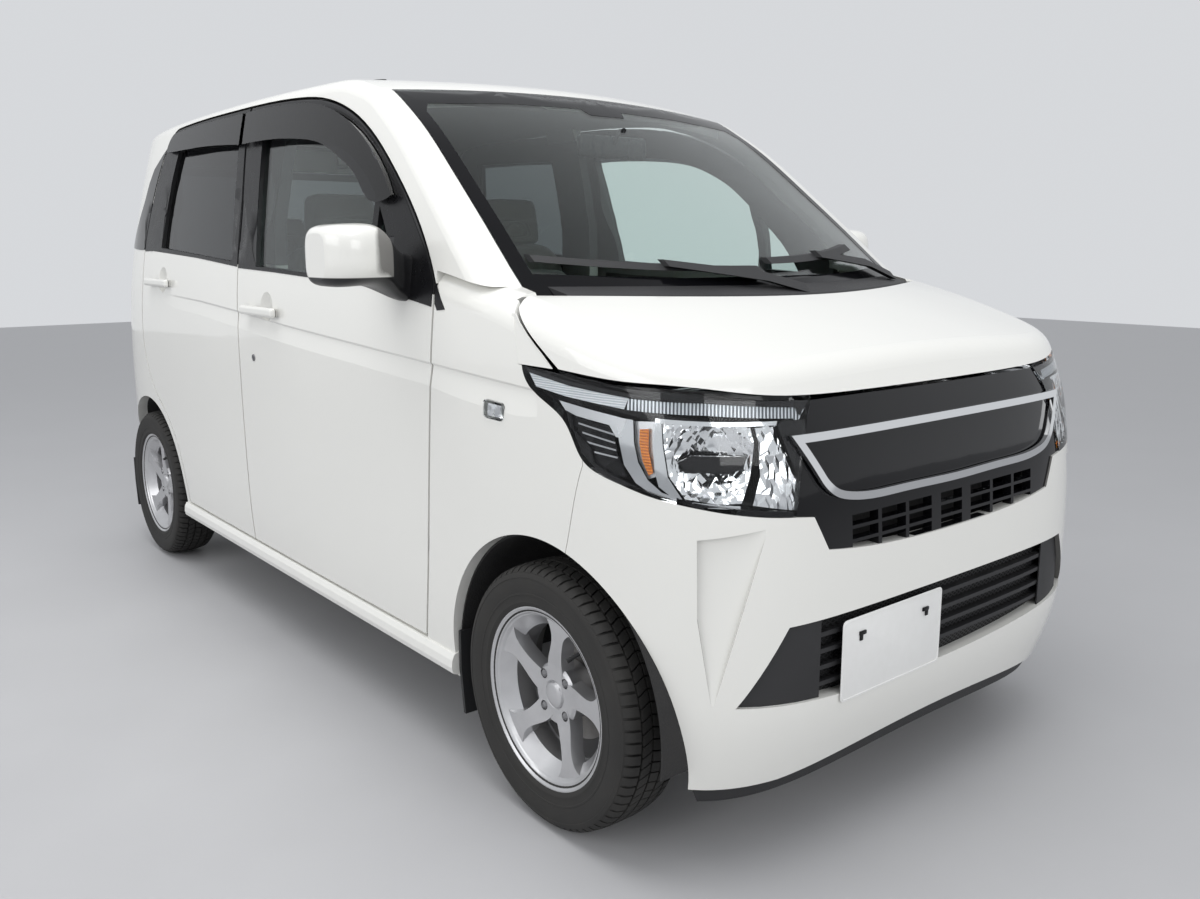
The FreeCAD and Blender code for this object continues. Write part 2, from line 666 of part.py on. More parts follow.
side_frame = cabin_shell.common(box(-half_length, half_length, right_y, -roof_seam, sill_low, body_height))
side_frame = side_frame.cut(Part.makeCompound([front_opening, rear_opening]))
front_cut = prism([[V(p.x, 0, p.z) for p in points] for points in
                   [[fender_low, fender_line[0]], fender_line,
                    [fender_line[-1], V(fender_line[-1].x, 0, top_z)],
                    [V(fender_line[-1].x, 0, top_z), V(nose_end.x, 0, top_z)],
                    [V(nose_end.x, 0, top_z), V(nose_end.x, 0, sill_low)],
                    [V(nose_end.x, 0, sill_low), fender_low]]], right_y, 0).common(bonnet_form)
side_frame = side_frame.cut(front_cut)
side_frame = side_frame.cut(screen_cut)
side_frame = side_frame.cut(tail_cut)
side_frame = side_frame.cut(rear_bumper_block)
side_frame = side_frame.cut(rear_arch)
side_frame = side_frame.fuse(sill_ledge(rear_ledge_x, fender_low.x - seat_gap))
post_foot = floor_low + floor_depth + seat_gap
post_points = [(0.855, post_foot), (0.855, 0.660 * body_height), (0.850, 0.755 * body_height),
               (0.810, 0.846 * body_height), (0.772, 0.924 * body_height), (0.735, 0.972 * body_height),
               (0.690, 0.972 * body_height), (0.722, 0.924 * body_height), (0.760, 0.846 * body_height),
               (0.798, 0.755 * body_height), (0.802, 0.660 * body_height), (0.802, post_foot)]
middle_post = Part.Face(loop_wire([(along(0.352), -share * half_width, z) for share, z in post_points]))
middle_post = middle_post.extrude(V(0.066 * wheelbase, 0, 0))
side_frame = side_frame.fuse(middle_post).multiFuse(hinge_arms(rear_hinge_x, -0.84 * half_width))

# Side lamps of the tail, cut out of the rear corners
tail_lamp_outline = side_places([(-0.985, 0.715), (-0.70, 0.722), (-0.66, 0.700), (-0.69, 0.640),
                                 (-0.77, 0.585), (-0.84, 0.548), (-0.985, 0.540)])
tail_lamp_outline = [[a, b] for a, b
                     in zip(tail_lamp_outline, tail_lamp_outline[1:] + tail_lamp_outline[:1])]
tail_lamp_side = 0.852 * half_width
lamp_block = prism(tail_lamp_outline, right_y, -tail_lamp_side)
tail_lamp = largest(side_frame.common(prism(tail_lamp_outline, right_y, -tail_lamp_side - seat_gap,
                                            -seat_gap)))
side_frame = largest(side_frame.cut(lamp_block))

# Nose: bonnet, wings, bumper, lamps and grilles
cowl_width = 46.0
intake_set = 30.3
intake_bar_set = 12.0
frame_proud = 9.0
frame_bar = 15.0
bonnet_rear = moved(roof_form, cowl_width + lid_gap, 0, 0)
bonnet = nose_shell.common(prism(bonnet_outline, right_y, -right_y)).cut(bonnet_rear)
bonnet_cut = prism(bonnet_outline, right_y, -right_y, lid_gap)

lamp_way = V(1, -1, 0)
lamp_way.normalize()


def lamp_prism(gap):
    """Prism of the right headlamp, straight through the corner of the nose."""
    chains = []
    for points in lamp_shares:
        places = [V(along(s), -y * half_width, z * body_height) for s, y, z in points]
        chains.append([p - lamp_way * p.dot(lamp_way) for p in places])
    if gap:
        chains = widened(chains, lamp_way, gap)
    chains = [[p + lamp_way * half_width for p in points] for points in chains]
    return Part.Face(Part.Wire(chain_edges(chains))).extrude(lamp_way * half_length)


lamp_cut = lamp_prism(0)
lamp_shell = back_room(nose_form, lamp_depth, lamp_depth)
grille_cut = long_prism(grille_shares, 0.6 * half_length, half_length + overrun)
lamp_room = long_prism(grille_shares, 0.6 * half_length, half_length + overrun, lamp_gap)
right_lamp = largest(lamp_shell.common(lamp_prism(-seat_gap)).cut(bonnet_cut).cut(lamp_room))

cowl_end = 0.86 * half_width
fender = nose_shell.common(prism(fender_outline, right_y, -0.6 * half_width))
cowl_room = box(0, along(1.1), -cowl_end, cowl_end, 0.6 * body_height, top_z)
fender = largest(fender.cut(bonnet_cut).cut(cowl_room).cut(lamp_cut).cut(front_arch).cut(screen_cut))
fender = largest(fender.cut(crease).fuse(sill_ledge(fender_low.x, front_ledge_x)))
intake_cut = long_prism(intake_shares, 0.6 * half_length, half_length + overrun)
front_bumper = nose_shell.common(prism(bumper_outline, right_y, -right_y)).cut(bonnet_cut).cut(grille_cut)
front_bumper = front_bumper.cut(intake_cut).cut(lamp_cut).cut(mirrored(lamp_cut)).cut(front_arch)
front_bumper = largest(front_bumper.cut(mirrored(front_arch)))
# Pocket in each corner of the bumper, deepest under its upper outer edge
pocket_places = [V(1590.0, -647.0, 683.0), V(1594.0, -647.0, 538.0), V(1612.0, -623.0, 362.0),
                 V(1657.0, -537.0, 698.0)]
pocket_depths = [13.0, 10.0, -1.5, -1.5]


def bumper_pocket():
    """Two flat sided wedges that reach from the pocket's bottom out through the corner."""
    bottom = [on_skin(place, lamp_way) - lamp_way * depth
              for place, depth in zip(pocket_places, pocket_depths)]
    upper = Part.Face(loop_wire([bottom[0], bottom[1], bottom[3]])).extrude(lamp_way * overrun)
    lower = Part.Face(loop_wire([bottom[1], bottom[2], bottom[3]])).extrude(lamp_way * overrun)
    return upper.fuse(lower)


pocket = bumper_pocket()
front_bumper = largest(front_bumper.cut(pocket).cut(mirrored(pocket)))
grille = layer(4.0, 20.0).common(long_prism(grille_shares, 0.6 * half_length, half_length,
                                            -seat_gap)).cut(bonnet_cut)
slot_rows_shares = (0.381, 0.397, 0.413)
slot_columns_shares = (-0.39, -0.27, -0.15, 0.0, 0.15, 0.27, 0.39)
slot_height_share = 0.012
slot_width_share = 0.105
slots = []
for column in slot_columns_shares:
    for row in slot_rows_shares:
        slots.append(box(0.9 * half_length, half_length, (column - slot_width_share / 2) * half_width,
                         (column + slot_width_share / 2) * half_width,
                         (row - slot_height_share / 2) * body_height,
                         (row + slot_height_share / 2) * body_height))
grille = largest(grille.cut(Part.makeCompound(slots)))
intake_plate = layer(intake_set, 10.0).common(long_prism(intake_shares, 0.6 * half_length, half_length, 8.0))
bar_rows_shares = (0.226, 0.246, 0.266, 0.286)
bar_height_share = 0.0055
bar_half_share = 0.66
bars = []
for row in bar_rows_shares:
    bar = box(0.85 * half_length, half_length, -bar_half_share * half_width, bar_half_share * half_width,
              (row - bar_height_share / 2) * body_height, (row + bar_height_share / 2) * body_height)
    bars.append(bar)
intake_bars = layer(intake_bar_set, intake_set - intake_bar_set + 5.0)
intake_bars = intake_bars.common(Part.makeCompound(bars)).common(long_prism(intake_shares,
                                                                            0.6 * half_length, half_length,
                                                                            -lamp_gap))
plate_hole_spacing = 210.0
plate_hole_radius = 3.0
plate_hole_depth = 55.0
plate_bracket_depth = 10.0
front_plate = V(half_length - 12.0, -190.0, 457.5)
rear_plate = V(-half_length, 0, 852.0)
plate_bracket = box(front_plate.x - plate_bracket_depth, front_plate.x,
                    front_plate.y - 0.62 * plate_hole_spacing, front_plate.y + 0.62 * plate_hole_spacing,
                    (bar_rows_shares[0] - bar_height_share) * body_height,
                    (bar_rows_shares[-1] + bar_height_share) * body_height)


def plate_holes(place, way):
    """Two bolt holes of a number plate, running from a place against the way out."""
    return Part.makeCompound([cylinder(place + V(way * plate_hole_depth, side * plate_hole_spacing / 2, 0),
                                       place + V(-way * plate_hole_depth, side * plate_hole_spacing / 2, 0),
                                       plate_hole_radius) for side in (-1, 1)])


lower_grille = largest(intake_plate.multiFuse([intake_bars, plate_bracket]).cut(plate_holes(front_plate, 1)))
grille_frame = layer(-frame_proud, frame_proud - seat_gap).common(long_prism(frame_shares, 0.6 * half_length,
                                                                             half_length + overrun))
grille_frame = grille_frame.cut(long_prism(frame_shares, 0.6 * half_length, half_length + overrun,
                                           -frame_bar))
cowl = back_room(nose_form, 40.0, 14.0).common(moved(roof_form, cowl_width, 0, 0)).cut(moved(roof_form, 0.3,
                                                                                             0, 0))
cowl_half = 0.80 * half_width
cowl = cowl.common(box(0, half_length, -cowl_half, cowl_half, 0.6 * body_height, body_height))

# Bonnet hinges beside the cowl cover
bonnet_axis = V(1130.0, 0, 1078.0)
bonnet_swing_radius = 21.0
bonnet_hinge_y = 602.0
bonnet_strap_width = 12.0
bonnet_strap_depth = 18.0
bonnet_pin_radius = 5.0
bonnet_strap_reach = 105.0
bonnet = largest(bonnet)
swing_end = 0.935 * half_width
fender = fender.cut(cylinder(V(bonnet_axis.x, -swing_end, bonnet_axis.z), V(bonnet_axis.x, 0, bonnet_axis.z),
                             bonnet_swing_radius))
straps = []
for side in (-1, 1):
    start_y = side * bonnet_hinge_y
    strap_y = start_y + side * (bonnet_strap_width + 2 * pin_gap)
    near, far = sorted((strap_y, strap_y + side * bonnet_strap_width))
    eye = cylinder(V(bonnet_axis.x, near, bonnet_axis.z), V(bonnet_axis.x, far, bonnet_axis.z),
                   bonnet_strap_depth / 2)
    strap = slab([(bonnet_axis.x, bonnet_axis.z - bonnet_strap_depth / 2),
                  (bonnet_axis.x + bonnet_strap_reach, bonnet_axis.z - 1.6 * bonnet_strap_depth),
                  (bonnet_axis.x + bonnet_strap_reach, bonnet_axis.z - 0.6 * bonnet_strap_depth),
                  (bonnet_axis.x, bonnet_axis.z + bonnet_strap_depth / 2)], near, far)
    pin = cylinder(V(bonnet_axis.x, start_y - side * bonnet_strap_width / 2, bonnet_axis.z),
                   V(bonnet_axis.x, far if side > 0 else near, bonnet_axis.z), bonnet_pin_radius)
    straps.append(eye.fuse(strap).fuse(pin))
bonnet = bonnet.multiFuse(straps)

# Tail: tailgate with its hinges, its window and the bumper
tail_axis = V(-1490.0, 0, 1611.0)
tail_hinge_y = 200.0
tail_arm_width = 24.0
tail_arm_depth = 16.0
tail_arm_drop = 90.0
tail_pin_radius = 4.5
tail_pocket_width = 36.0


def tail_hinge(side):
    """Gooseneck arm of the roof, and what the tailgate loses and gains for it."""
    y = side * tail_hinge_y
    half = tail_arm_depth / 2
    neck_x = along(-0.26)
    eye = cylinder(V(tail_axis.x, y - tail_arm_width / 2, tail_axis.z),
                   V(tail_axis.x, y + tail_arm_width / 2, tail_axis.z), half)
    drop_z = tail_axis.z - tail_arm_drop
    neck = slab([(tail_axis.x - half, tail_axis.z), (tail_axis.x - half, drop_z - half),
                 (neck_x + half, drop_z - half), (neck_x + half, 0.968 * body_height),
                 (neck_x - half, 0.968 * body_height), (neck_x - half, drop_z + half),
                 (tail_axis.x + half, drop_z + half), (tail_axis.x + half, tail_axis.z)],
                y - tail_arm_width / 2, y + tail_arm_width / 2)
    bore = cylinder(V(tail_axis.x, y - tail_arm_width, tail_axis.z),
                    V(tail_axis.x, y + tail_arm_width, tail_axis.z), tail_pin_radius + pin_gap)
    pocket = box(tail_axis.x - 1.8 * half, tail_split_x + lid_gap, y - tail_pocket_width / 2,
                 y + tail_pocket_width / 2, tail_axis.z - 2 * roof_depth, tail_axis.z + half + 2 * pin_gap)
    pin = cylinder(V(tail_axis.x, y - 0.7 * tail_pocket_width, tail_axis.z),
                   V(tail_axis.x, y + 0.7 * tail_pocket_width, tail_axis.z), tail_pin_radius)
    return eye.fuse(neck).cut(bore), pocket, pin


tail_hinges = [tail_hinge(side) for side in (-1, 1)]
tailgate = cabin_shell.common(tail_form)
for neck, pocket, pin in tail_hinges:
    tailgate = tailgate.cut(pocket).fuse(pin)
roof_panel = largest(roof_panel.multiFuse([neck for neck, pocket, pin in tail_hinges]))
back_window_cut = long_prism(back_window_shares, -half_length - overrun, -0.8 * half_length)
plate_recess_width = 400.0
plate_recess_height = 190.0
plate_recess_set = 24.0
plate_recess = box(-half_length - overrun, rear_plate.x + plate_recess_set, -plate_recess_width / 2,
                   plate_recess_width / 2, rear_plate.z - 0.76 * plate_recess_height,
                   rear_plate.z + 0.24 * plate_recess_height)
tailgate = tailgate.cut(plate_recess).cut(plate_holes(rear_plate, -1))
tailgate = largest(tailgate.cut(back_window_cut))
back_pane = glass_skin.common(long_prism(back_window_shares, -half_length, -0.8 * half_length, -seat_gap))
rear_bumper = cabin_shell.common(box(-half_length - overrun, rear_bumper_x, -half_width, half_width,
                                     bumper_low, bumper_top - seat_gap))
rear_bumper = rear_bumper.cut(tail_cut).cut(rear_arch).cut(mirrored(rear_arch))
nodes["tail_lamps"] = Part.makeCompound([tail_lamp, mirrored(tail_lamp)])

# Visors over the side windows, with a flange along the top edge that seats on the door
visor_proud = 20.0
visor_wall = 3.0
visor_flange = 7.0
front_visor_shares = [[(0.368, 0.958), (0.415, 0.958), (0.498, 0.954), (0.564, 0.945), (0.611, 0.929),
                       (0.657, 0.904), (0.702, 0.868), (0.735, 0.832), (0.764, 0.790)],
                      [(0.764, 0.790), (0.745, 0.782), (0.718, 0.787), (0.688, 0.820), (0.650, 0.849),
                       (0.600, 0.877), (0.537, 0.892), (0.474, 0.899), (0.416, 0.901), (0.372, 0.901)],
                      [(0.372, 0.901), (0.368, 0.958)]]
rear_visor_shares = [[(0.358, 0.958), (0.276, 0.958), (0.196, 0.957), (0.101, 0.951)],
                     [(0.101, 0.951), (0.080, 0.921), (0.079, 0.914)],
                     [(0.079, 0.914), (0.108, 0.913), (0.200, 0.912), (0.342, 0.903), (0.361, 0.901)],
                     [(0.361, 0.901), (0.358, 0.958)]]
outer_walls = walls(-visor_proud)
inner_walls = walls(visor_wall - visor_proud)
seat_walls = walls(-seat_gap)


def visor(shares):
    block = prism(outline(shares), right_y, -0.7 * half_width)
    hollow = moved(block, 0, 0, -visor_flange).common(inner_walls)
    return largest(block.common(outer_walls).cut(seat_walls).cut(hollow))


# Wipers: blades that follow the screen, arms and pivots on the cowl
blade_width_share = 0.010
blade_depth = 14.0
blade_gap = 1.0
blade_shares = [[(-0.80, 0.700), (-0.45, 0.688), (-0.06, 0.684)], [(-0.06, 0.684), (-0.06, 0.692)],
                [(-0.06, 0.692), (-0.45, 0.697), (-0.80, 0.709)], [(-0.80, 0.709), (-0.80, 0.700)]]
short_blade_shares = [[(0.02, 0.694), (0.32, 0.699), (0.62, 0.712)], [(0.62, 0.712), (0.62, 0.721)],
                      [(0.62, 0.721), (0.32, 0.708), (0.02, 0.703)], [(0.02, 0.703), (0.02, 0.694)]]
arm_shares = [[(-0.42, 0.693), (-0.10, 0.672)], [(-0.10, 0.672), (0.03, 0.655)],
              [(0.03, 0.655), (0.05, 0.668)], [(0.05, 0.668), (-0.08, 0.684)],
              [(-0.08, 0.684), (-0.42, 0.702)], [(-0.42, 0.702), (-0.42, 0.693)]]
short_arm_shares = [[(0.30, 0.702), (0.60, 0.686)], [(0.60, 0.686), (0.72, 0.665)],
                    [(0.72, 0.665), (0.745, 0.677)], [(0.745, 0.677), (0.62, 0.698)],
                    [(0.62, 0.698), (0.30, 0.712)], [(0.30, 0.712), (0.30, 0.702)]]


def on_screen(shares, low, high):
    """A flat piece on the screen: an outline of the front view between two heights over the glass."""
    block = long_prism(shares, 0.5 * front_axle, half_length)
    block = block.common(moved(roof_form, screen_slope.x * high, 0, screen_slope.z * high))
    return largest(block.cut(moved(roof_form, screen_slope.x * low, 0, screen_slope.z * low)))


wipers = [on_screen(blade, blade_gap, blade_depth).fuse(on_screen(arm, blade_depth - blade_gap,
                                                                  1.8 * blade_depth)) for blade,
          arm in ((blade_shares, arm_shares), (short_blade_shares, short_arm_shares))]
cowl_top = moved(nose_form, 0, 0, seat_gap)
nodes["wipers"] = Part.makeCompound([largest(wiper.cut(cowl_top)) for wiper in wipers])

# Rear wiper on the back window
rear_blade_shares = [[(-0.10, 0.668), (0.42, 0.664)], [(0.42, 0.664), (0.42, 0.673)],
                     [(0.42, 0.673), (-0.10, 0.680)], [(-0.10, 0.680), (-0.10, 0.668)]]
rear_wiper = layer(-blade_depth, blade_depth + glass_set - blade_gap)
rear_wiper = largest(rear_wiper.common(long_prism(rear_blade_shares, -half_length - overrun,
                                                  0.5 * rear_axle)))
pivot_place = V(-half_length - blade_depth, 0, 0.648 * body_height)
pivot = cylinder(pivot_place, pivot_place + V(4 * blade_depth, 0, 0), 1.6 * blade_depth)
pivot = pivot.cut(walls(-blade_gap))
pivot_arm = layer(-1.6 * blade_depth, blade_depth).common(long_prism([[(-0.035, 0.645), (0.035, 0.645)],
                                                                      [(0.035, 0.645), (0.14, 0.672)],
                                                                      [(0.14, 0.672), (0.06, 0.678)],
                                                                      [(0.06, 0.678), (-0.035, 0.655)],
                                                                      [(-0.035, 0.655), (-0.035, 0.645)]],
                                                                     -half_length - overrun, rear_axle))
nodes["rear_wiper"] = largest(rear_wiper.multiFuse([pivot, pivot_arm]))

# Lamp on each wing, standing a little proud
marker_proud = 3.0
marker_depth = 12.0
marker_shares = [[(0.930, 0.512), (0.930, 0.529)], [(0.930, 0.529), (0.933, 0.5325)],
                 [(0.933, 0.5325), (0.956, 0.531)], [(0.956, 0.531), (0.959, 0.527)],
                 [(0.959, 0.527), (0.958, 0.512)], [(0.958, 0.512), (0.955, 0.5085)],
                 [(0.955, 0.5085), (0.933, 0.509)], [(0.933, 0.509), (0.930, 0.512)]]
marker = layer(-marker_proud, marker_depth).common(prism(outline(marker_shares), right_y, -0.8 * half_width,
                                                         -seat_gap))
fender = largest(fender.cut(prism(outline(marker_shares), right_y, -0.8 * half_width)))
nodes["side_markers"] = Part.makeCompound([largest(marker), mirrored(largest(marker))])

# Chin under the front bumper, and the mud flaps behind the wheels
chin_set = 9.0
chin_depth = 16.0
chin_shares = [[(-0.93, 0.089), (-0.60, 0.093), (0.0, 0.1035), (0.60, 0.093), (0.93, 0.089)],
               [(0.93, 0.089), (0.93, 0.103)],
               [(0.93, 0.103), (0.60, 0.113), (0.0, 0.127), (-0.60, 0.113), (-0.93, 0.103)],
               [(-0.93, 0.103), (-0.93, 0.089)]]
chin_under_shares = [[(-1.1, 0.05), (1.1, 0.05)], [(1.1, 0.05), (1.1, 0.100)],
                     [(1.1, 0.100), (0.93, 0.103), (0.60, 0.113), (0.0, 0.127), (-0.60, 0.113),
                      (-0.93, 0.103), (-1.1, 0.100)], [(-1.1, 0.100), (-1.1, 0.05)]]
front_bumper = largest(front_bumper.cut(long_prism(chin_under_shares, front_axle, half_length + overrun)))
chin = layer(chin_set, chin_depth).common(long_prism(chin_shares, front_axle + 0.95 * front_arch_radius,
                                                     half_length, -seat_gap / 2))
nodes["chin_spoiler"] = largest(chin)
flap_depth = 9.0
flap_low = 0.078 * body_height
flap_high = 2 * hub_height - liner_low
flaps = []
for x, radius in ((front_axle, front_arch_radius), (rear_axle, rear_arch_radius)):
    reach = math.sqrt((radius - liner_depth) ** 2 - (hub_height - liner_low) ** 2)
    slope = (hub_height - liner_low) / reach
    back = x - reach + seat_gap
    if x == rear_axle:
        arch_edge_x = x - math.sqrt(radius ** 2 - (hub_height - bumper_low) ** 2)
        back = arch_edge_x + seat_gap - (liner_low - bumper_low) * slope
    foot = back + (liner_low - flap_low) * slope
    flap = slab([(foot, flap_low), (foot + flap_depth, flap_low), (back + flap_depth, liner_low),
                 (back + flap_depth, flap_high), (back, flap_high), (back, liner_low)], 0.78 * half_width,
                0.965 * half_width)
    flaps += [flap, mirrored(flap)]
nodes["mudguards"] = Part.makeCompound(flaps)

nodes["visor_front_right"] = visor(front_visor_shares)
nodes["visor_rear_right"] = visor(rear_visor_shares)


def ring(points, centre, axis):
    """Solid of revolution: points give the place along the axis and the radius."""
    wire = loop_wire([(0, along_axis, radius) for along_axis, radius in points])
    solid = Part.Face(wire).revolve(V(0, 0, 0), V(0, 1, 0), 360)
    if axis.y < 0:
        solid = solid.mirror(V(0, 0, 0), V(0, 1, 0))
    solid.translate(centre)
    return solid


# Wheels: places along the axle count outwards from the wheel's middle plane
half_tyre = tyre_width / 2
tread_half = 0.76 * half_tyre
shoulder_radius = 0.972 * tyre_radius
bead_half = 0.80 * half_tyre
rim_half = 0.87 * half_tyre
rim_wall = 6.0
rim_well_radius = 0.86 * rim_radius
hub_face = 36.0
hub_radius = 66.0
cap_radius = 28.0
spoke_count = 5
disc_radius = 110.0
disc_width = 18.0
disc_place = -34.0
spindle_radius = 15.0
spindle_length = 62.0
bearing_gap = 0.3


def tyre(centre, side):
    """Tyre with rounded shoulders, side walls and beads, its side looking outwards."""
    half = [(-bead_half, rim_radius + 1), (-0.97 * half_tyre, 0.81 * tyre_radius),
            (-half_tyre, 0.865 * tyre_radius), (-0.97 * half_tyre, 0.925 * tyre_radius),
            (-0.89 * half_tyre, 0.962 * tyre_radius), (-tread_half, 0.985 * tyre_radius),
            (-0.4 * half_tyre, 0.999 * tyre_radius), (0, tyre_radius)]
    other = [(-x, r) for x, r in reversed(half[:-1])]
    return ring(half + other, centre, V(0, side, 0))


# Alloy wheel: places of the spoke's edges as shares of the rim's radius, with a sweep angle in degrees
spoke_lead_shares = [(0.26, -37.0), (0.36, -27.0), (0.50, -15.5), (0.65, -9.0), (0.80, -9.5), (0.90, -14.0),
                     (0.985, -21.0)]
spoke_trail_shares = [(0.985, 20.0), (0.90, 14.0), (0.80, 11.5), (0.65, 12.5), (0.50, 16.0), (0.36, 24.0),
                      (0.26, 35.0)]
spoke_sweep = 13.0
spoke_taper_share = 0.30
spoke_back = 6.0
lug_count = 4
lug_circle_radius = 50.0
lug_hole_radius = 10.5
lug_hole_depth = 12.0
dish_points = [(6.0, 0.0), (6.0, 58.0), (13.0, 104.0), (20.0, 150.0), (26.0, 177.0)]
face_points = [(52.0, 177.0), (50.0, 150.0), (44.0, 104.0), (38.0, 66.0), (36.0, 40.0), (36.0, 0.0)]


def spoke_outline(place, spread_share):
    """Outline of a spoke in the wheel's plane: its two edges and its ends, spread about its middle line."""
    chains = []
    for edge in (spoke_lead_shares, spoke_trail_shares):
        points = []
        for share, angle in edge:
            turn = math.radians(spread_share * angle + spoke_sweep * share)
            points.append(V(math.sin(turn) * share * rim_radius, place, math.cos(turn) * share * rim_radius))
        chains.append(points)
    lead, trail = chains
    return Part.Wire(chain_edges([lead, [lead[-1], trail[0]], trail, [trail[-1], lead[0]]]))


def spokes():
    """The spokes with tapered flanks, between the dish behind them and the face before them."""
    back = spoke_outline(0, 1.0)
    front = spoke_outline(half_tyre, 1.0 - spoke_taper_share)
    spoke = Part.makeLoft([back, front], True, True)
    dish = ring(dish_points + face_points, V(0, 0, 0), V(0, 1, 0))
    spoke = spoke.common(dish)
    return [spoke.rotated(V(0, 0, 0), V(0, 1, 0), index * 360 / spoke_count) for index in range(spoke_count)]


def rim():
    """Left alloy rim: barrel, hub, swept spokes and the brake disc that turns with it."""
    barrel = ring([(-rim_half, rim_flange_radius), (-rim_half, rim_flange_radius - rim_wall),
                   (-bead_half + rim_wall, rim_radius - rim_wall),
                   (-0.2 * half_tyre, rim_well_radius - rim_wall),
                   (0.35 * half_tyre, rim_well_radius - rim_wall),
                   (bead_half - rim_wall, rim_radius - rim_wall), (rim_half, rim_flange_radius - rim_wall),
                   (rim_half, rim_flange_radius), (bead_half + rim_wall / 2, rim_flange_radius
                                                   - rim_wall / 2), (bead_half, rim_radius),
                   (0.35 * half_tyre, rim_well_radius), (-0.2 * half_tyre, rim_well_radius),
                   (-bead_half, rim_radius), (-bead_half - rim_wall / 2, rim_flange_radius - rim_wall / 2)],
                  V(0, 0, 0), V(0, 1, 0))
    hub = ring([(spoke_back, 0), (spoke_back, hub_radius), (hub_face - rim_wall, hub_radius),
                (hub_face, hub_radius - rim_wall), (hub_face, cap_radius + rim_wall / 2),
                (hub_face - rim_wall / 2, cap_radius), (hub_face + rim_wall / 2, cap_radius - rim_wall / 2),
                (hub_face + rim_wall, 0)], V(0, 0, 0), V(0, 1, 0))
    solid = barrel.multiFuse([hub] + spokes())
    holes = []
    for index in range(lug_count):
        turn = math.radians((index + 0.5) * 360 / lug_count)
        foot = V(lug_circle_radius * math.sin(turn), hub_face - lug_hole_depth,
                 lug_circle_radius * math.cos(turn))
        holes.append(cylinder(foot, foot + V(0, half_tyre, 0), lug_hole_radius))
    solid = solid.cut(Part.makeCompound(holes))
    disc = ring([(disc_place - disc_width / 2, 0), (disc_place - disc_width / 2, disc_radius),
                 (disc_place + disc_width / 2, disc_radius), (disc_place + disc_width / 2, 0)], V(0, 0, 0),
                V(0, 1, 0))
    carrier = cylinder(V(0, disc_place, 0), V(0, spoke_back + rim_wall, 0), hub_radius - rim_wall)
    spindle = cylinder(V(0, disc_place - spindle_length, 0), V(0, disc_place, 0), spindle_radius)
    return largest(solid.multiFuse([disc, carrier, spindle]))


# Steering knuckle: the kingpin leans inwards at the top
kingpin_inset = 84.0
kingpin_lean = 12.0
knuckle_depth = 46.0
ball_drop = 95.0
clamp_rise = 130.0
kingpin_radius = 15.0
strut_radius = 21.0
caliper_half = 40.0
caliper_gap = 6.0
caliper_top = 17.0
caliper_reach = 27.0
spring_radius = 56.0
strut_top = 0.50 * body_height
spring_low = 0.365 * body_height
kingpin_y = wheel_plane - kingpin_inset
lean = V(0, -math.sin(math.radians(kingpin_lean)), math.cos(math.radians(kingpin_lean)))


def kingpin_place(height):
    """Point of the left kingpin axis at a height over the hub."""
    return V(front_axle, kingpin_y, hub_height) + lean * height


def knuckle():
    """Left knuckle: hub bearing, upright between ball joint and strut clamp, steering arm, caliper."""
    inner = disc_place - disc_width / 2 - 6
    start = V(front_axle, wheel_plane + inner - knuckle_depth, hub_height)
    end = V(front_axle, wheel_plane + inner, hub_height)
    solid = cylinder(start, end, 2.4 * spindle_radius)
    solid = solid.fuse(cylinder(kingpin_place(-ball_drop), kingpin_place(clamp_rise), kingpin_radius))
    arm = cylinder(kingpin_place(-ball_drop / 2), kingpin_place(-ball_drop / 2) + V(-1.1 * ball_drop, -12,
                                                                                    0), 0.6 * kingpin_radius)
    caliper = box(front_axle - caliper_half, front_axle + caliper_half, end.y - kingpin_radius,
                  wheel_plane + disc_place + caliper_reach, hub_height + disc_radius + caliper_gap,
                  hub_height + disc_radius + caliper_top)
    back = box(front_axle - caliper_half, front_axle + caliper_half, end.y - kingpin_radius, end.y,
               hub_height + kingpin_radius, hub_height + disc_radius + caliper_top)
    solid = solid.fuse(arm).fuse(caliper).fuse(back)
    bore = cylinder(start - V(0, overrun, 0), end + V(0, overrun, 0), spindle_radius + bearing_gap)
    return largest(solid.cut(bore))


wheel_places = {"front_right": (front_axle, -1), "front_left": (front_axle, 1),
                "rear_right": (rear_axle, -1), "rear_left": (rear_axle, 1)}
left_rim = rim()
right_rim = mirrored(left_rim)
for place, (x, side) in wheel_places.items():
    centre = V(x, side * wheel_plane, hub_height)
    nodes["tyre_" + place] = tyre(centre, side)
    nodes["rim_" + place] = moved(left_rim if side > 0 else right_rim, *centre)
nodes["knuckle_left"] = knuckle()
nodes["knuckle_right"] = mirrored(nodes["knuckle_left"])


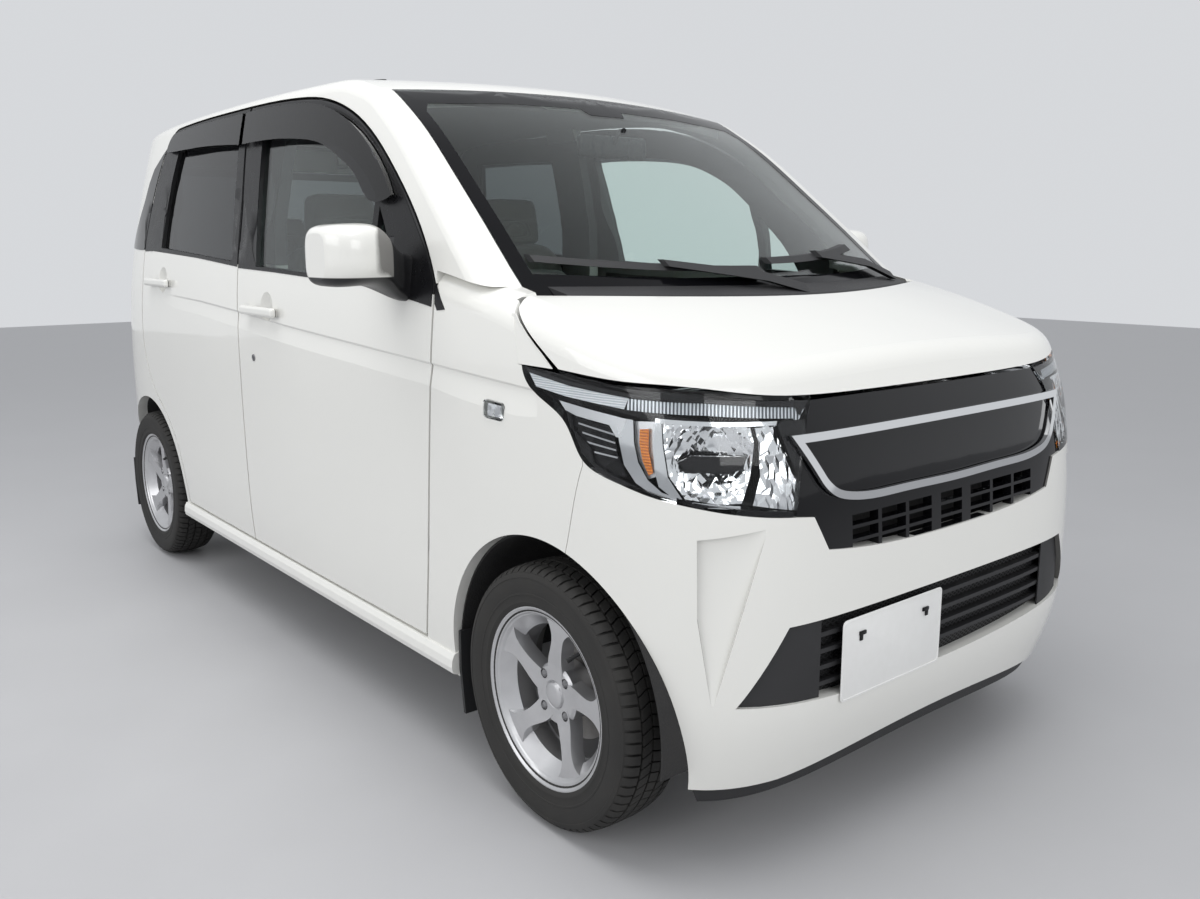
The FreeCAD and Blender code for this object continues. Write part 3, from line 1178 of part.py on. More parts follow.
# Floor, bulkhead, front rails and strut towers
toe_x = along(0.71)
bulkhead_x = along(0.842)
kick_x = along(0.25)
kick_run = 130.0
tail_floor_x = along(0.10)
floor_end_x = along(-0.72)
bulkhead_top = 0.65 * body_height
cowl_front_x = along(0.965)
floor_top = floor_low + floor_depth
rail_y = 0.50 * half_width
rail_width = 48.0
rail_low = 0.215 * body_height
rail_high = 0.265 * body_height
beam_x = half_length - 112.0
beam_depth = 36.0
inner_wall = walls(door_depth + seat_gap, pillar_depth + seat_gap, end_depth + seat_gap)
floor_points = [(kick_x, floor_low), (toe_x, floor_low), (bulkhead_x, 0.26 * body_height),
                (bulkhead_x, bulkhead_top - floor_depth), (cowl_front_x, bulkhead_top - floor_depth),
                (cowl_front_x, bulkhead_top), (bulkhead_x - floor_depth, bulkhead_top),
                (bulkhead_x - floor_depth, 0.27 * body_height), (toe_x - floor_depth / 3, floor_top),
                (kick_x + floor_depth / 3, floor_top),
                (kick_x - kick_run + floor_depth / 2, rear_floor_low + floor_depth),
                (tail_floor_x, tail_floor_low + floor_depth), (floor_end_x, tail_floor_low + floor_depth),
                (floor_end_x, tail_floor_low), (tail_floor_x, tail_floor_low),
                (kick_x - kick_run, rear_floor_low)]
floor_pan = slab(floor_points, -half_width, half_width).common(inner_wall)
for x, radius in ((front_axle, front_arch_radius), (rear_axle, rear_arch_radius)):
    for side in (-1, 1):
        room = cylinder(V(x, side * 0.6 * half_width, hub_height), V(x, side * half_width, hub_height),
                        radius + seat_gap)
        floor_pan = floor_pan.cut(room)
tower_half = 0.3 * front_arch_radius
door_side = 0.865 * half_width
post_side = 0.766 * half_width
for side in (-1, 1):
    near, far = sorted((side * door_side, side * half_width))
    floor_pan = floor_pan.cut(box(rear_axle, along(0.76), near, far, sill_high - door_gap, body_height))
    near, far = sorted((side * post_side, side * half_width))
    floor_pan = floor_pan.cut(box(along(0.76), front_axle, near, far, floor_top, body_height))
for side in (-1, 1):
    inner, outer = sorted((side * (rail_y - rail_width / 2), side * (rail_y + rail_width / 2)))
    rail = box(bulkhead_x - floor_depth / 2, beam_x + beam_depth / 2, inner, outer, rail_low, rail_high)
    wall = box(front_axle - tower_half, front_axle + tower_half, inner, outer, rail_low,
               strut_top + liner_depth * 2)
    near, far = sorted((side * (rail_y + rail_width / 4), side * (rail_y + 0.26 * half_width)))
    plate = box(front_axle - tower_half, front_axle + tower_half, near, far, strut_top,
                strut_top + liner_depth * 2)
    floor_pan = floor_pan.fuse(rail).fuse(wall).fuse(plate)
beam = box(beam_x, beam_x + beam_depth, -0.66 * half_width, 0.66 * half_width, 0.235 * body_height,
           0.3 * body_height)
radiator = box(beam_x - 40, beam_x, -0.42 * half_width, 0.42 * half_width, 0.17 * body_height,
               0.42 * body_height)
floor_pan = largest(floor_pan.fuse(beam).fuse(radiator))

# Engine block on its subframe, lower arms, struts and springs
subframe_low = 0.115 * body_height
subframe_high = 0.142 * body_height
subframe_half = 0.36 * half_width
engine_rear_x = front_axle - 130.0
engine_front_x = front_axle + 250.0
engine_block = box(engine_rear_x, engine_front_x, -0.40 * half_width, 0.40 * half_width,
                   subframe_high + seat_gap, 0.44 * body_height)
subframe = box(front_axle - 170, front_axle + 190, -subframe_half, subframe_half, subframe_low,
               subframe_high)
ball = kingpin_place(-ball_drop - seat_gap)
arm_radius = 12.0
for side in (-1, 1):
    foot = V(front_axle, side * ball.y, ball.z)
    way = V(0, side * lean.y, lean.z)
    pad = cylinder(foot - way * 2 * arm_radius, foot, 0.8 * kingpin_radius)
    for reach in (-120, 60):
        arm = cylinder(V(front_axle + reach, side * (subframe_half - 20),
                         (subframe_low + subframe_high) / 2), foot - way * 1.5 * arm_radius, arm_radius)
        subframe = subframe.fuse(arm)
    subframe = subframe.fuse(pad)
    rail_post = box(front_axle - 150, front_axle - 110, min(side * rail_y, side * (subframe_half - 30)),
                    max(side * rail_y, side * (subframe_half - 30)), subframe_low, subframe_high)
    hanger = box(front_axle - 150, front_axle - 110, side * rail_y - 20, side * rail_y + 20, subframe_low,
                 rail_low - seat_gap)
    subframe = subframe.fuse(rail_post).fuse(hanger)
nodes["front_subframe"] = largest(subframe)
nodes["engine"] = engine_block


def reach_of(height):
    """How far up the kingpin axis a height over the road lies."""
    return (height - hub_height) / lean.z


struts = []
for side in (-1, 1):
    low = kingpin_place(clamp_rise + seat_gap)
    seat = kingpin_place(reach_of(spring_low))
    top = kingpin_place(reach_of(strut_top - seat_gap) - 12)
    tube = cylinder(low, top, strut_radius)
    coil = cylinder(seat, kingpin_place(reach_of(strut_top) - 22), spring_radius)
    flat = box(front_axle - spring_radius, front_axle + spring_radius, top.y - spring_radius,
               top.y + spring_radius, strut_top - 12, strut_top - seat_gap)
    strut = tube.fuse(coil).fuse(flat)
    struts.append(strut if side > 0 else mirrored(strut))
nodes["front_struts"] = Part.makeCompound([largest(strut) for strut in struts])

# Rear axle beam with trailing arms, spindles and dampers
beam_y = wheel_plane + disc_place - disc_width / 2 - spindle_length - 14
trail_radius = 20.0
trail_x = along(0.205)
trail_z = hub_height + trail_radius / 2
rear_beam = cylinder(V(rear_axle, -beam_y, hub_height), V(rear_axle, beam_y, hub_height), 26)
for side in (-1, 1):
    bearing = cylinder(V(rear_axle, side * (beam_y - 4), hub_height),
                       V(rear_axle, side * (wheel_plane + disc_place - disc_width / 2 - 6), hub_height),
                       2.2 * spindle_radius)
    trail = cylinder(V(rear_axle, side * 0.56 * half_width, hub_height),
                     V(trail_x, side * 0.56 * half_width, trail_z), trail_radius)
    pivot = cylinder(V(trail_x, side * 0.59 * half_width, trail_z),
                     V(trail_x, side * 0.53 * half_width, trail_z), 1.4 * trail_radius)
    rear_beam = rear_beam.fuse(bearing).fuse(trail).fuse(pivot)
bores = [cylinder(V(rear_axle, side * (beam_y - 6), hub_height), V(rear_axle, side * half_width, hub_height),
                  spindle_radius + bearing_gap) for side in (-1, 1)]
rear_beam = largest(rear_beam.cut(Part.makeCompound(bores)))
spring_seat = 52.0
for side in (-1, 1):
    coil = cylinder(V(rear_axle + 10, side * 0.50 * half_width, hub_height),
                    V(rear_axle + 10, side * 0.50 * half_width, tail_floor_low - seat_gap), spring_seat)
    rear_beam = rear_beam.fuse(coil)
nodes["rear_axle"] = largest(rear_beam)

# Wheel house liners
liners = []
for x, radius in ((front_axle, front_arch_radius), (rear_axle, rear_arch_radius)):
    outer = cylinder(V(x, 0.60 * half_width, hub_height), V(x, 0.95 * half_width, hub_height),
                     radius - seat_gap)
    inner = cylinder(V(x, 0.60 * half_width, hub_height), V(x, 0.95 * half_width, hub_height),
                     radius - liner_depth)
    liner = outer.cut(inner).cut(box(-half_length, half_length, 0, half_width, 0, liner_low))
    if x == front_axle:
        liner = liner.cut(box(x - 1.4 * spring_radius, x + 1.4 * spring_radius, 0, 0.80 * half_width,
                              hub_height, body_height))
    liner = liner.common(walls(panel_depth + seat_gap))
    liners += [liner, mirrored(liner)]
nodes["wheel_liners"] = Part.makeCompound([solid for liner in liners for solid in liner.Solids])

# Front posts with their hinge arms, and the bonnet's brackets
for side in (-1, 1):
    near, far = sorted((side * (post_side - 2 * liner_depth), side * post_plane))
    post = box(front_hinge_x - 2.6 * hinge_eye_radius, bulkhead_x, near, far, floor_low, 0.64 * body_height)
    arms = hinge_arms(front_hinge_x, -post_plane + liner_depth)
    if side > 0:
        arms = [mirrored(arm) for arm in arms]
    floor_pan = floor_pan.fuse(post).multiFuse(arms)
    near, far = sorted((side * 0.70 * half_width, side * (bonnet_hinge_y + bonnet_strap_width / 2)))
    shelf = box(bonnet_axis.x - bonnet_strap_depth, bonnet_axis.x + bonnet_strap_depth, near, far,
                bulkhead_top - floor_depth, bulkhead_top)
    near, far = sorted((side * (bonnet_hinge_y - bonnet_strap_width / 2),
                        side * (bonnet_hinge_y + bonnet_strap_width / 2)))
    bracket = box(bonnet_axis.x - bonnet_strap_depth / 2, bonnet_axis.x + bonnet_strap_depth / 2, near, far,
                  bulkhead_top - floor_depth, bonnet_axis.z + bonnet_strap_depth / 2)
    bore = cylinder(V(bonnet_axis.x, near, bonnet_axis.z), V(bonnet_axis.x, far, bonnet_axis.z),
                    bonnet_pin_radius + pin_gap)
    floor_pan = floor_pan.fuse(shelf).fuse(bracket).cut(bore)
nodes["floor_pan"] = largest(floor_pan)

# Cabin: dashboard, steering wheel and seats
dash_x = bulkhead_x - floor_depth - seat_gap
dash_points = [(dash_x, 0.645 * body_height), (along(0.735), 0.645 * body_height),
               (along(0.698), 0.615 * body_height), (along(0.688), 0.55 * body_height),
               (along(0.705), 0.47 * body_height), (along(0.74), 0.42 * body_height),
               (dash_x, 0.42 * body_height)]
dashboard = slab(dash_points, -0.75 * half_width, 0.75 * half_width)
driver_y = -0.45 * half_width
wheel_tilt = math.radians(26)
column_way = V(-math.cos(wheel_tilt), 0, math.sin(wheel_tilt))
steering_centre = V(along(0.648), driver_y, 0.578 * body_height)
steering_radius = 182.0
steering_tube = 15.0
column_start = steering_centre - column_way * 190
column = cylinder(column_start, steering_centre - column_way * 40, 26)
nodes["dashboard"] = largest(dashboard.fuse(column))
grip = Part.makeTorus(steering_radius - steering_tube, steering_tube, steering_centre, column_way)
boss = cylinder(steering_centre - column_way * (40 - seat_gap), steering_centre + column_way * 8, 44)
grip = grip.fuse(boss)
across_way = V(0, 1, 0)
down_way = column_way.cross(across_way)
for way in (across_way, across_way * -1, down_way):
    arm = cylinder(steering_centre, steering_centre + way * (steering_radius - steering_tube), 9)
    grip = grip.fuse(arm)
nodes["steering_wheel"] = largest(grip)


def seat(points, y, half, head_points, head_half):
    body = slab(points, y - half, y + half)
    if head_points:
        body = body.fuse(slab(head_points, y - head_half, y + head_half))
    return body


seat_x = along(0.40)
seat_points = [(seat_x, floor_top + seat_gap), (seat_x + 430, floor_top + seat_gap),
               (seat_x + 470, 0.36 * body_height), (seat_x + 500, 0.385 * body_height),
               (seat_x + 120, 0.365 * body_height), (seat_x + 10, 0.55 * body_height),
               (seat_x - 60, 0.72 * body_height), (seat_x - 150, 0.72 * body_height),
               (seat_x - 90, 0.50 * body_height), (seat_x - 20, 0.33 * body_height)]
head_points = [(seat_x - 70, 0.70 * body_height), (seat_x - 75, 0.82 * body_height),
               (seat_x - 160, 0.82 * body_height), (seat_x - 150, 0.70 * body_height)]
front_seats = [seat(seat_points, side * 0.45 * half_width, 0.32 * half_width, head_points, 0.17 * half_width)
               for side in (-1, 1)]
nodes["front_seats"] = Part.makeCompound(front_seats)
bench_x = along(0.13)
rear_floor_top = rear_floor_low + floor_depth
bench_points = [(bench_x - 20, rear_floor_top + 20), (kick_x - kick_run, rear_floor_top + seat_gap),
                (bench_x + 420, rear_floor_top + seat_gap), (bench_x + 440, 0.355 * body_height),
                (bench_x + 110, 0.385 * body_height), (bench_x, 0.55 * body_height),
                (bench_x - 70, 0.70 * body_height), (bench_x - 150, 0.70 * body_height),
                (bench_x - 100, 0.40 * body_height)]
bench = slab(bench_points, -0.70 * half_width, 0.70 * half_width)
nodes["rear_seat"] = one(bench.cut(floor_pan))

# Exhaust and fuel tank under the floor
tank_top = floor_low - seat_gap
silencer = cylinder(V(along(-0.50), 0.2 * half_width, hub_height + 20),
                    V(along(-0.50), 0.68 * half_width, hub_height + 20), 80)
pipe_y = 0.22 * half_width
pipe_radius = 19.0
engine_pipe_z = 300.0
pipe_points = [V(engine_rear_x - seat_gap, pipe_y, engine_pipe_z),
               V(engine_rear_x - 5 * pipe_radius, pipe_y, engine_pipe_z), V(toe_x, pipe_y, floor_low - 34),
               V(kick_x, pipe_y, floor_low - 34), V(along(0.06), pipe_y, hub_height + 90),
               V(along(-0.30), pipe_y, hub_height + 90), V(along(-0.50), pipe_y, hub_height + 20)]
exhaust = silencer
for a, b in zip(pipe_points[:-1], pipe_points[1:]):
    exhaust = exhaust.fuse(cylinder(a, b, pipe_radius)).fuse(Part.makeSphere(pipe_radius, b))
nodes["exhaust"] = largest(exhaust)
tank_low = floor_low + liner_depth * 2
tank_front = kick_x - 1.08 * kick_run
tank_slope = (tail_floor_low - rear_floor_low) / (kick_x - kick_run - tail_floor_x)
tank_rise = (kick_x - kick_run - tank_front) * tank_slope
nodes["fuel_tank"] = slab([(tail_floor_x, tank_low), (tank_front, tank_low),
                           (tank_front, rear_floor_low + tank_rise - seat_gap),
                           (tail_floor_x, tail_floor_low - seat_gap)], -0.42 * half_width, 0.10 * half_width)

# Mirrors on the front doors: a foot at the window's corner and a rounded case
mirror_sections = [(690.0, 702.0, 36.0, 52.0, 1118.0), (745.0, 698.0, 44.0, 56.0, 1130.0),
                   (772.0, 688.0, 72.0, 62.0, 1152.0), (800.0, 686.0, 90.0, 67.0, 1168.0),
                   (860.0, 698.0, 98.0, 68.0, 1172.0), (905.0, 700.0, 84.0, 66.0, 1170.0),
                   (930.0, 700.0, 46.0, 50.0, 1168.0)]
mirror_power = 3.6
mirror_turns = 24
mirror_face_x = 636.0


def round_section(y, middle_x, half_x, half_z, z):
    """A rounded upright section of the mirror case, squarer than an ellipse."""
    points = []
    for index in range(mirror_turns):
        turn = 2 * math.pi * index / mirror_turns
        cos, sin = math.cos(turn), math.sin(turn)
        x = math.copysign(abs(cos) ** (2 / mirror_power), cos) * half_x
        up = math.copysign(abs(sin) ** (2 / mirror_power), sin) * half_z
        points.append(V(middle_x + x, -y, z + up))
    curve = Part.BSplineCurve()
    curve.interpolate(Points=points, PeriodicFlag=True)
    return Part.Wire([curve.toShape()])


case = Part.makeLoft([round_section(*section) for section in mirror_sections], True, False)
case = case.cut(box(0, mirror_face_x, -body_width, 0, 0, body_height)).cut(seat_walls)
nodes["mirror_right"] = largest(case)

# Body panels on both sides
nodes["side_frame_right"] = side_frame
nodes["roof_panel"] = one(roof_panel)
nodes["windscreen"] = largest(screen)
nodes["fender_right"] = fender
nodes["bonnet"] = largest(bonnet)
nodes["front_bumper"] = front_bumper
nodes["front_grille"] = grille
nodes["grille_frame"] = largest(grille_frame)
nodes["lower_grille"] = lower_grille
nodes["cowl_cover"] = largest(cowl)
nodes["headlamps"] = Part.makeCompound([right_lamp, mirrored(right_lamp)])
nodes["tailgate"] = tailgate
nodes["tailgate_window"] = largest(back_pane)
nodes["rear_bumper"] = largest(rear_bumper)
nodes["door_front_right"] = largest(front_door)
nodes["door_rear_right"] = largest(rear_door)
nodes["window_front_right"] = Part.makeCompound([largest(pane) for pane in front_panes])
nodes["window_rear_right"] = largest(rear_pane)
for name in ("side_frame", "fender", "door_front", "door_rear", "window_front", "window_rear", "visor_front",
             "visor_rear", "mirror"):
    nodes[name + "_left"] = mirrored(nodes[name + "_right"])

os.makedirs("parts", exist_ok=True)
for name, shape in nodes.items():
    shape.exportStep("parts/" + name + ".step")
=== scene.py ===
"""Looks of the kei car: finishes for its pieces, small trim, soft seats, the stage and the camera."""
import json
import math

import bmesh
import bpy
from mathutils import Matrix, Vector
from mathutils.bvhtree import BVHTree

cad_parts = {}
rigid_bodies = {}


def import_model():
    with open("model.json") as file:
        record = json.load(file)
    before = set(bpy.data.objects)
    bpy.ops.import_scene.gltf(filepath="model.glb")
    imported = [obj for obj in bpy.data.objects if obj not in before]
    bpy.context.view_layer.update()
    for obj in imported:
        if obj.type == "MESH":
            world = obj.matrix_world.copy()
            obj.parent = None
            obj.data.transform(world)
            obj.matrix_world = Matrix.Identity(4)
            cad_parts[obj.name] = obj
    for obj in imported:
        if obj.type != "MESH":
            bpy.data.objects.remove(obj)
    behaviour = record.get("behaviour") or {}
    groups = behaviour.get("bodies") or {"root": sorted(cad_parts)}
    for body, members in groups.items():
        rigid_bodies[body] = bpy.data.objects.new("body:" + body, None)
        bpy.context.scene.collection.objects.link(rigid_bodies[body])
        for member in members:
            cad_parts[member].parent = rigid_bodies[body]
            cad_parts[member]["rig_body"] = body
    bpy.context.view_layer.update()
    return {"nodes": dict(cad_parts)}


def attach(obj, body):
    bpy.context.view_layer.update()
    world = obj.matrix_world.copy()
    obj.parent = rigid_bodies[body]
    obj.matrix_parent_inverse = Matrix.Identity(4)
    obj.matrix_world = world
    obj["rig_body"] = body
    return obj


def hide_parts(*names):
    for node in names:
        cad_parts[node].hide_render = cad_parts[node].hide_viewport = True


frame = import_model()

bl_info = {
    "name": "Kei car looks",
    "version": (1, 0, 0),
    "blender": (4, 5, 0),
    "location": "View3D > Sidebar > Kei car",
    "description": "Finishes, trim, seats and stage for the kei car",
    "category": "Object",
}

MM = 0.001
# Sizes of the car without its mirrors and its rear wiper, and the places of its axles along X, in metres
CAR_LENGTH = 3.395
CAR_HEIGHT = 1.655
HALF_WIDTH = 0.7375
FRONT_AXLE = 1.225
REAR_AXLE = -1.295
SIDES = (("left", 1), ("right", -1))
WHEELS = ("front_left", "front_right", "rear_left", "rear_right")

# The photograph's camera, in metres and in pixels of its frame
PHOTO_WIDTH = 1200
CAMERA_PLACE = Vector((2.846, -1.902, 1.200))
CAMERA_AIM = Vector((0.531, 0.0, 0.658))
FOCAL_PIXELS = 1041.8
CENTRE_SHIFT_PIXELS = (-1.2, -19.2)
SENSOR_WIDTH = 36.0


class KeiFinishSettings(bpy.types.PropertyGroup):
    """Colours of the car"""
    body_colour: bpy.props.FloatVectorProperty(
        name="Body colour", description="Pearl white of the body panels", default=(0.82, 0.815, 0.775),
        size=3, min=0.0, max=1.0, subtype="COLOR")


class KeiWheelSettings(bpy.types.PropertyGroup):
    """Sizes of the tyres' tread"""
    tread_pitches: bpy.props.IntProperty(
        name="Tread pitches", description="Rows of tread blocks once round a tyre",
        default=72, min=24, max=120)
    groove_depth: bpy.props.FloatProperty(
        name="Groove depth", description="Depth of the tread's grooves",
        default=0.0085, min=0.001, unit="LENGTH")


class KeiPlateSettings(bpy.types.PropertyGroup):
    """Sizes of the bare number plates"""
    width: bpy.props.FloatProperty(
        name="Width", description="Width of a number plate", default=0.330, min=0.1, unit="LENGTH")
    height: bpy.props.FloatProperty(
        name="Height", description="Height of a number plate", default=0.165, min=0.05, unit="LENGTH")
    thickness: bpy.props.FloatProperty(
        name="Thickness", description="Thickness of a number plate's sheet",
        default=0.0012, min=0.0005, unit="LENGTH")
    corner: bpy.props.FloatProperty(
        name="Corner radius", description="Radius of a number plate's corners",
        default=0.012, min=0.001, unit="LENGTH")


class KeiCabinSettings(bpy.types.PropertyGroup):
    """Places in the cabin"""
    seat_place: bpy.props.FloatProperty(
        name="Seat place", description="Distance of a front seat's middle from the car's middle",
        default=0.332, unit="LENGTH")


SETTINGS = (("kei_finish", KeiFinishSettings), ("kei_wheels", KeiWheelSettings),
            ("kei_plates", KeiPlateSettings), ("kei_cabin", KeiCabinSettings))


# Sockets of a Mix node that take its two colours and give the mixed one
MIX_LOW, MIX_HIGH, MIX_RESULT = 6, 7, 2


class Sock:
    """An output socket of a node tree: Python maths on it adds Math nodes to the tree."""

    def __init__(self, shader, socket):
        self.shader = shader
        self.socket = socket

    def maths(self, operation, *values, clamp=False):
        settings = {"operation": operation, "use_clamp": clamp}
        return self.shader.add("ShaderNodeMath", settings, dict(enumerate((self, *values))))

    def __add__(self, other):
        return self.maths("ADD", other)

    __radd__ = __add__

    def __mul__(self, other):
        return self.maths("MULTIPLY", other)

    __rmul__ = __mul__

    def __sub__(self, other):
        return self.maths("SUBTRACT", other)

    def __rsub__(self, other):
        return self.shader.add("ShaderNodeMath", {"operation": "SUBTRACT"}, {0: other, 1: self})

    def __abs__(self):
        return self.maths("ABSOLUTE")

    def over(self, edge, soft=0.0):
        """1 where the value is over an edge, with a soft step of a given width."""
        if soft == 0.0:
            return self.maths("GREATER_THAN", edge)
        return ((self - edge) * (1 / soft) + 0.5).maths("MULTIPLY", 1.0, clamp=True)

    def under(self, edge, soft=0.0):
        return 1 - self.over(edge, soft)

    def within(self, low, high, soft=0.0):
        return self.over(low, soft) * self.under(high, soft)


class Shader:
    """A material's node tree round one Principled shader."""

    def __init__(self, name):
        self.material = bpy.data.materials.new(name)
        self.material.use_nodes = True
        self.tree = self.material.node_tree
        self.tree.nodes.clear()
        self.output = self.tree.nodes.new("ShaderNodeOutputMaterial")
        self.places = {}

    def add(self, kind, settings=None, sockets=None, output=0):
        """Adds a node: its settings first, then the values or links of its sockets."""
        node = self.tree.nodes.new(kind)
        for key, value in (settings or {}).items():
            if key == "stops":
                self.set_stops(node.color_ramp, value)
            else:
                setattr(node, key, value)
        for key, value in (sockets or {}).items():
            if isinstance(value, Sock):
                self.tree.links.new(value.socket, node.inputs[key])
            else:
                node.inputs[key].default_value = value
        return Sock(self, node.outputs[output])

    @staticmethod
    def set_stops(ramp, stops):
        while len(ramp.elements) < len(stops):
            ramp.elements.new(0.5)
        for element, (place, colour) in zip(ramp.elements, stops):
            element.position = place
            element.color = (*colour, 1.0)

    def place(self, axis=None):
        """The point's place in the object, as a vector or as one of its coordinates in metres."""
        if "object" not in self.places:
            self.places["object"] = self.add("ShaderNodeTexCoord", output="Object")
        if axis is None:
            return self.places["object"]
        if axis not in self.places:
            sockets = {"Vector": self.places["object"]}
            self.places[axis] = self.add("ShaderNodeSeparateXYZ", sockets=sockets, output="XYZ".index(axis))
        return self.places[axis]

    def facing(self, axis):
        """One coordinate of the surface's own direction, in the object."""
        direction = self.add("ShaderNodeTexCoord", output="Normal")
        return self.add("ShaderNodeSeparateXYZ", sockets={"Vector": direction}, output="XYZ".index(axis))

    def noise(self, scale, detail=2.0, vector=None):
        sockets = {"Vector": vector or self.place(), "Scale": scale, "Detail": detail}
        return self.add("ShaderNodeTexNoise", sockets=sockets)

    def cells(self, scale, output="Distance"):
        return self.add("ShaderNodeTexVoronoi", sockets={"Vector": self.place(), "Scale": scale},
                        output=output)

    def flakes(self, scale):
        """A number of its own for each of many tiny cells."""
        return self.add("ShaderNodeSeparateColor", sockets={"Color": self.cells(scale, "Color")})

    def bands(self, axis, scale):
        """Even ribs that follow each other along an axis."""
        settings = {"wave_type": "BANDS", "bands_direction": axis}
        return self.add("ShaderNodeTexWave", settings, {"Vector": self.place(), "Scale": scale})

    def blend(self, factor, low, high):
        """Mixes two colours by a factor."""
        pair = [(*colour, 1.0) if isinstance(colour, tuple) else colour for colour in (low, high)]
        sockets = {0: factor, MIX_LOW: pair[0], MIX_HIGH: pair[1]}
        return self.add("ShaderNodeMix", {"data_type": "RGBA"}, sockets, MIX_RESULT)

    def stretched(self, x, y, z):
        """The place with each axis scaled, for streaks and ribs."""
        sockets = {0: self.place(), 1: (x, y, z)}
        return self.add("ShaderNodeVectorMath", {"operation": "MULTIPLY"}, sockets)

    def bump(self, height, distance):
        return self.add("ShaderNodeBump", sockets={"Height": height, "Distance": distance, "Strength": 1.0})

    def surface(self, sockets):
        """Ends the tree in a Principled shader and gives the material."""
        values = {key: (*value, 1.0) if key in ("Base Color", "Emission Color", "Coat Tint", "Sheen Tint")
                  and isinstance(value, tuple) else value for key, value in sockets.items()}
        shader = self.add("ShaderNodeBsdfPrincipled", sockets=values)
        self.tree.links.new(shader.socket, self.output.inputs["Surface"])
        return self.material


# Where one finish ends on a piece and another begins, in metres, and how soft the step between them is
BELT_HEIGHT = 1.1195
BELT_SLOPE = 0.040
FRONT_REVEAL = (-1.120, 0.050)
FRONT_REVEAL_TOP = 1.560
REAR_REVEAL = (-1.300, -1.120)
REAR_REVEAL_TOP = 1.340
ROOF_LINING_FOOT = 1.2
MIRROR_CAP_FOOT = 1.124
MIRROR_ARM_END = 0.775
DISC_FACE = 0.6295
MESH_HALF_WIDTH = 0.400
MESH_FACE = 1.668
CLOTH_FIELD = (0.74, 1.00)
SHARP = 0.001
SOFT = 0.002
# How far a face of the body has to look inwards or down to be lined with grey, and how soft that step is
INWARDS = (-0.35, 0.1)
DOWNWARDS = (-0.6, 0.1)
# The grille's mesh: rows to a metre, their slant, and from where to where a row is open and how softly
MESH_ROWS = 62.0
MESH_SLANT = 1.7
MESH_OPEN = (0.16, 0.84, 0.06)
# Light guides of the lamps: their slant across the car's corner and their ribs to a metre
LAMP_CORNER = 0.72
GUIDE_RIBS = 150.0

LINING_GREY = (0.20, 0.195, 0.185)
REVEAL_BLACK = (0.010, 0.010, 0.011)


def body_colour(share):
    """The body's colour, a little darker or lighter."""
    return tuple(channel * share for channel in bpy.context.scene.kei_finish.body_colour)


def paint(s, dark=None):
    """Warm pearl white with flakes, grey on faces that look inwards, black where it's asked to be dark."""
    flakes = s.flakes(2600.0)
    colour = s.blend(s.noise(1.3), body_colour(0.97), body_colour(1.02))
    inner = (s.facing("Y") * s.place("Y").maths("SIGN")).under(*INWARDS)
    inner = inner + s.facing("Z").under(*DOWNWARDS) * s.place("Z").over(ROOF_LINING_FOOT)
    inner = inner.maths("MINIMUM", 1.0)
    colour = s.blend(inner, colour, LINING_GREY)
    coat = 1 - inner
    if dark is not None:
        colour = s.blend(dark, colour, REVEAL_BLACK)
        coat = coat * (1 - dark)
    return s.surface({"Base Color": colour, "Roughness": 0.32 + flakes * 0.14 + inner * 0.4,
                      "Normal": s.bump(s.noise(240.0, 1.0), 0.00004), "Coat Weight": coat,
                      "Coat Roughness": 0.03, "Specular IOR Level": 0.5})


def above_belt(s):
    """1 above the belt line, which falls towards the nose."""
    return (s.place("Z") + s.place("X") * BELT_SLOPE).over(BELT_HEIGHT, SHARP)


def door_paint(s):
    """Body colour below the belt line, black on the reveals of the window frame."""
    return paint(s, above_belt(s))


def side_paint(s):
    """Body colour, with the door openings' reveals black from the belt line up."""
    front = s.place("X").within(*FRONT_REVEAL, SOFT) * s.place("Z").under(FRONT_REVEAL_TOP, SHARP)
    rear = s.place("X").within(*REAR_REVEAL, SOFT) * s.place("Z").under(REAR_REVEAL_TOP, SHARP)
    return paint(s, (front + rear).maths("MINIMUM", 1.0) * above_belt(s))


def mirror_cap(s):
    """Body colour on the cap, black plastic on the lower edge and the arm."""
    low = s.place("Z").under(MIRROR_CAP_FOOT, SOFT)
    return paint(s, low.maths("MAXIMUM", abs(s.place("Y")).under(MIRROR_ARM_END, SOFT)))


def amber(s):
    ribs = s.bands("Z", 60.0)
    return s.surface({"Base Color": s.blend(ribs, (0.55, 0.13, 0.01), (0.85, 0.27, 0.02)),
                      "Roughness": 0.12 + ribs * 0.1, "Coat Weight": 1.0, "Coat Roughness": 0.02,
                      "Normal": s.bump(ribs, 0.0008)})


def lamp_white(s):
    """Milky clear plastic with long ribs."""
    ribs = s.bands("Z", 70.0)
    return s.surface({"Base Color": s.blend(ribs, (0.62, 0.66, 0.70), (0.92, 0.94, 0.95)),
                      "Roughness": 0.16 + ribs * 0.1, "Coat Weight": 0.8, "Coat Roughness": 0.03,
                      "Normal": s.bump(ribs, 0.0010)})


def lamp_ribs(s):
    """Clear light guide with fine upright ribs over a grey ground."""
    forward = {0: s.place(), 1: (LAMP_CORNER, 0.0, 0.0)}
    across = s.add("ShaderNodeVectorMath", {"operation": "DOT_PRODUCT"}, forward, 1)
    across = across + abs(s.place("Y")) * -LAMP_CORNER
    ribs = (across * GUIDE_RIBS).maths("FRACT").within(0.25, 0.75, 0.2)
    return s.surface({"Base Color": s.blend(ribs, (0.10, 0.11, 0.12), (0.72, 0.76, 0.80)),
                      "Roughness": 0.15 + ribs * 0.12, "Metallic": 0.4, "Normal": s.bump(ribs, 0.001)})


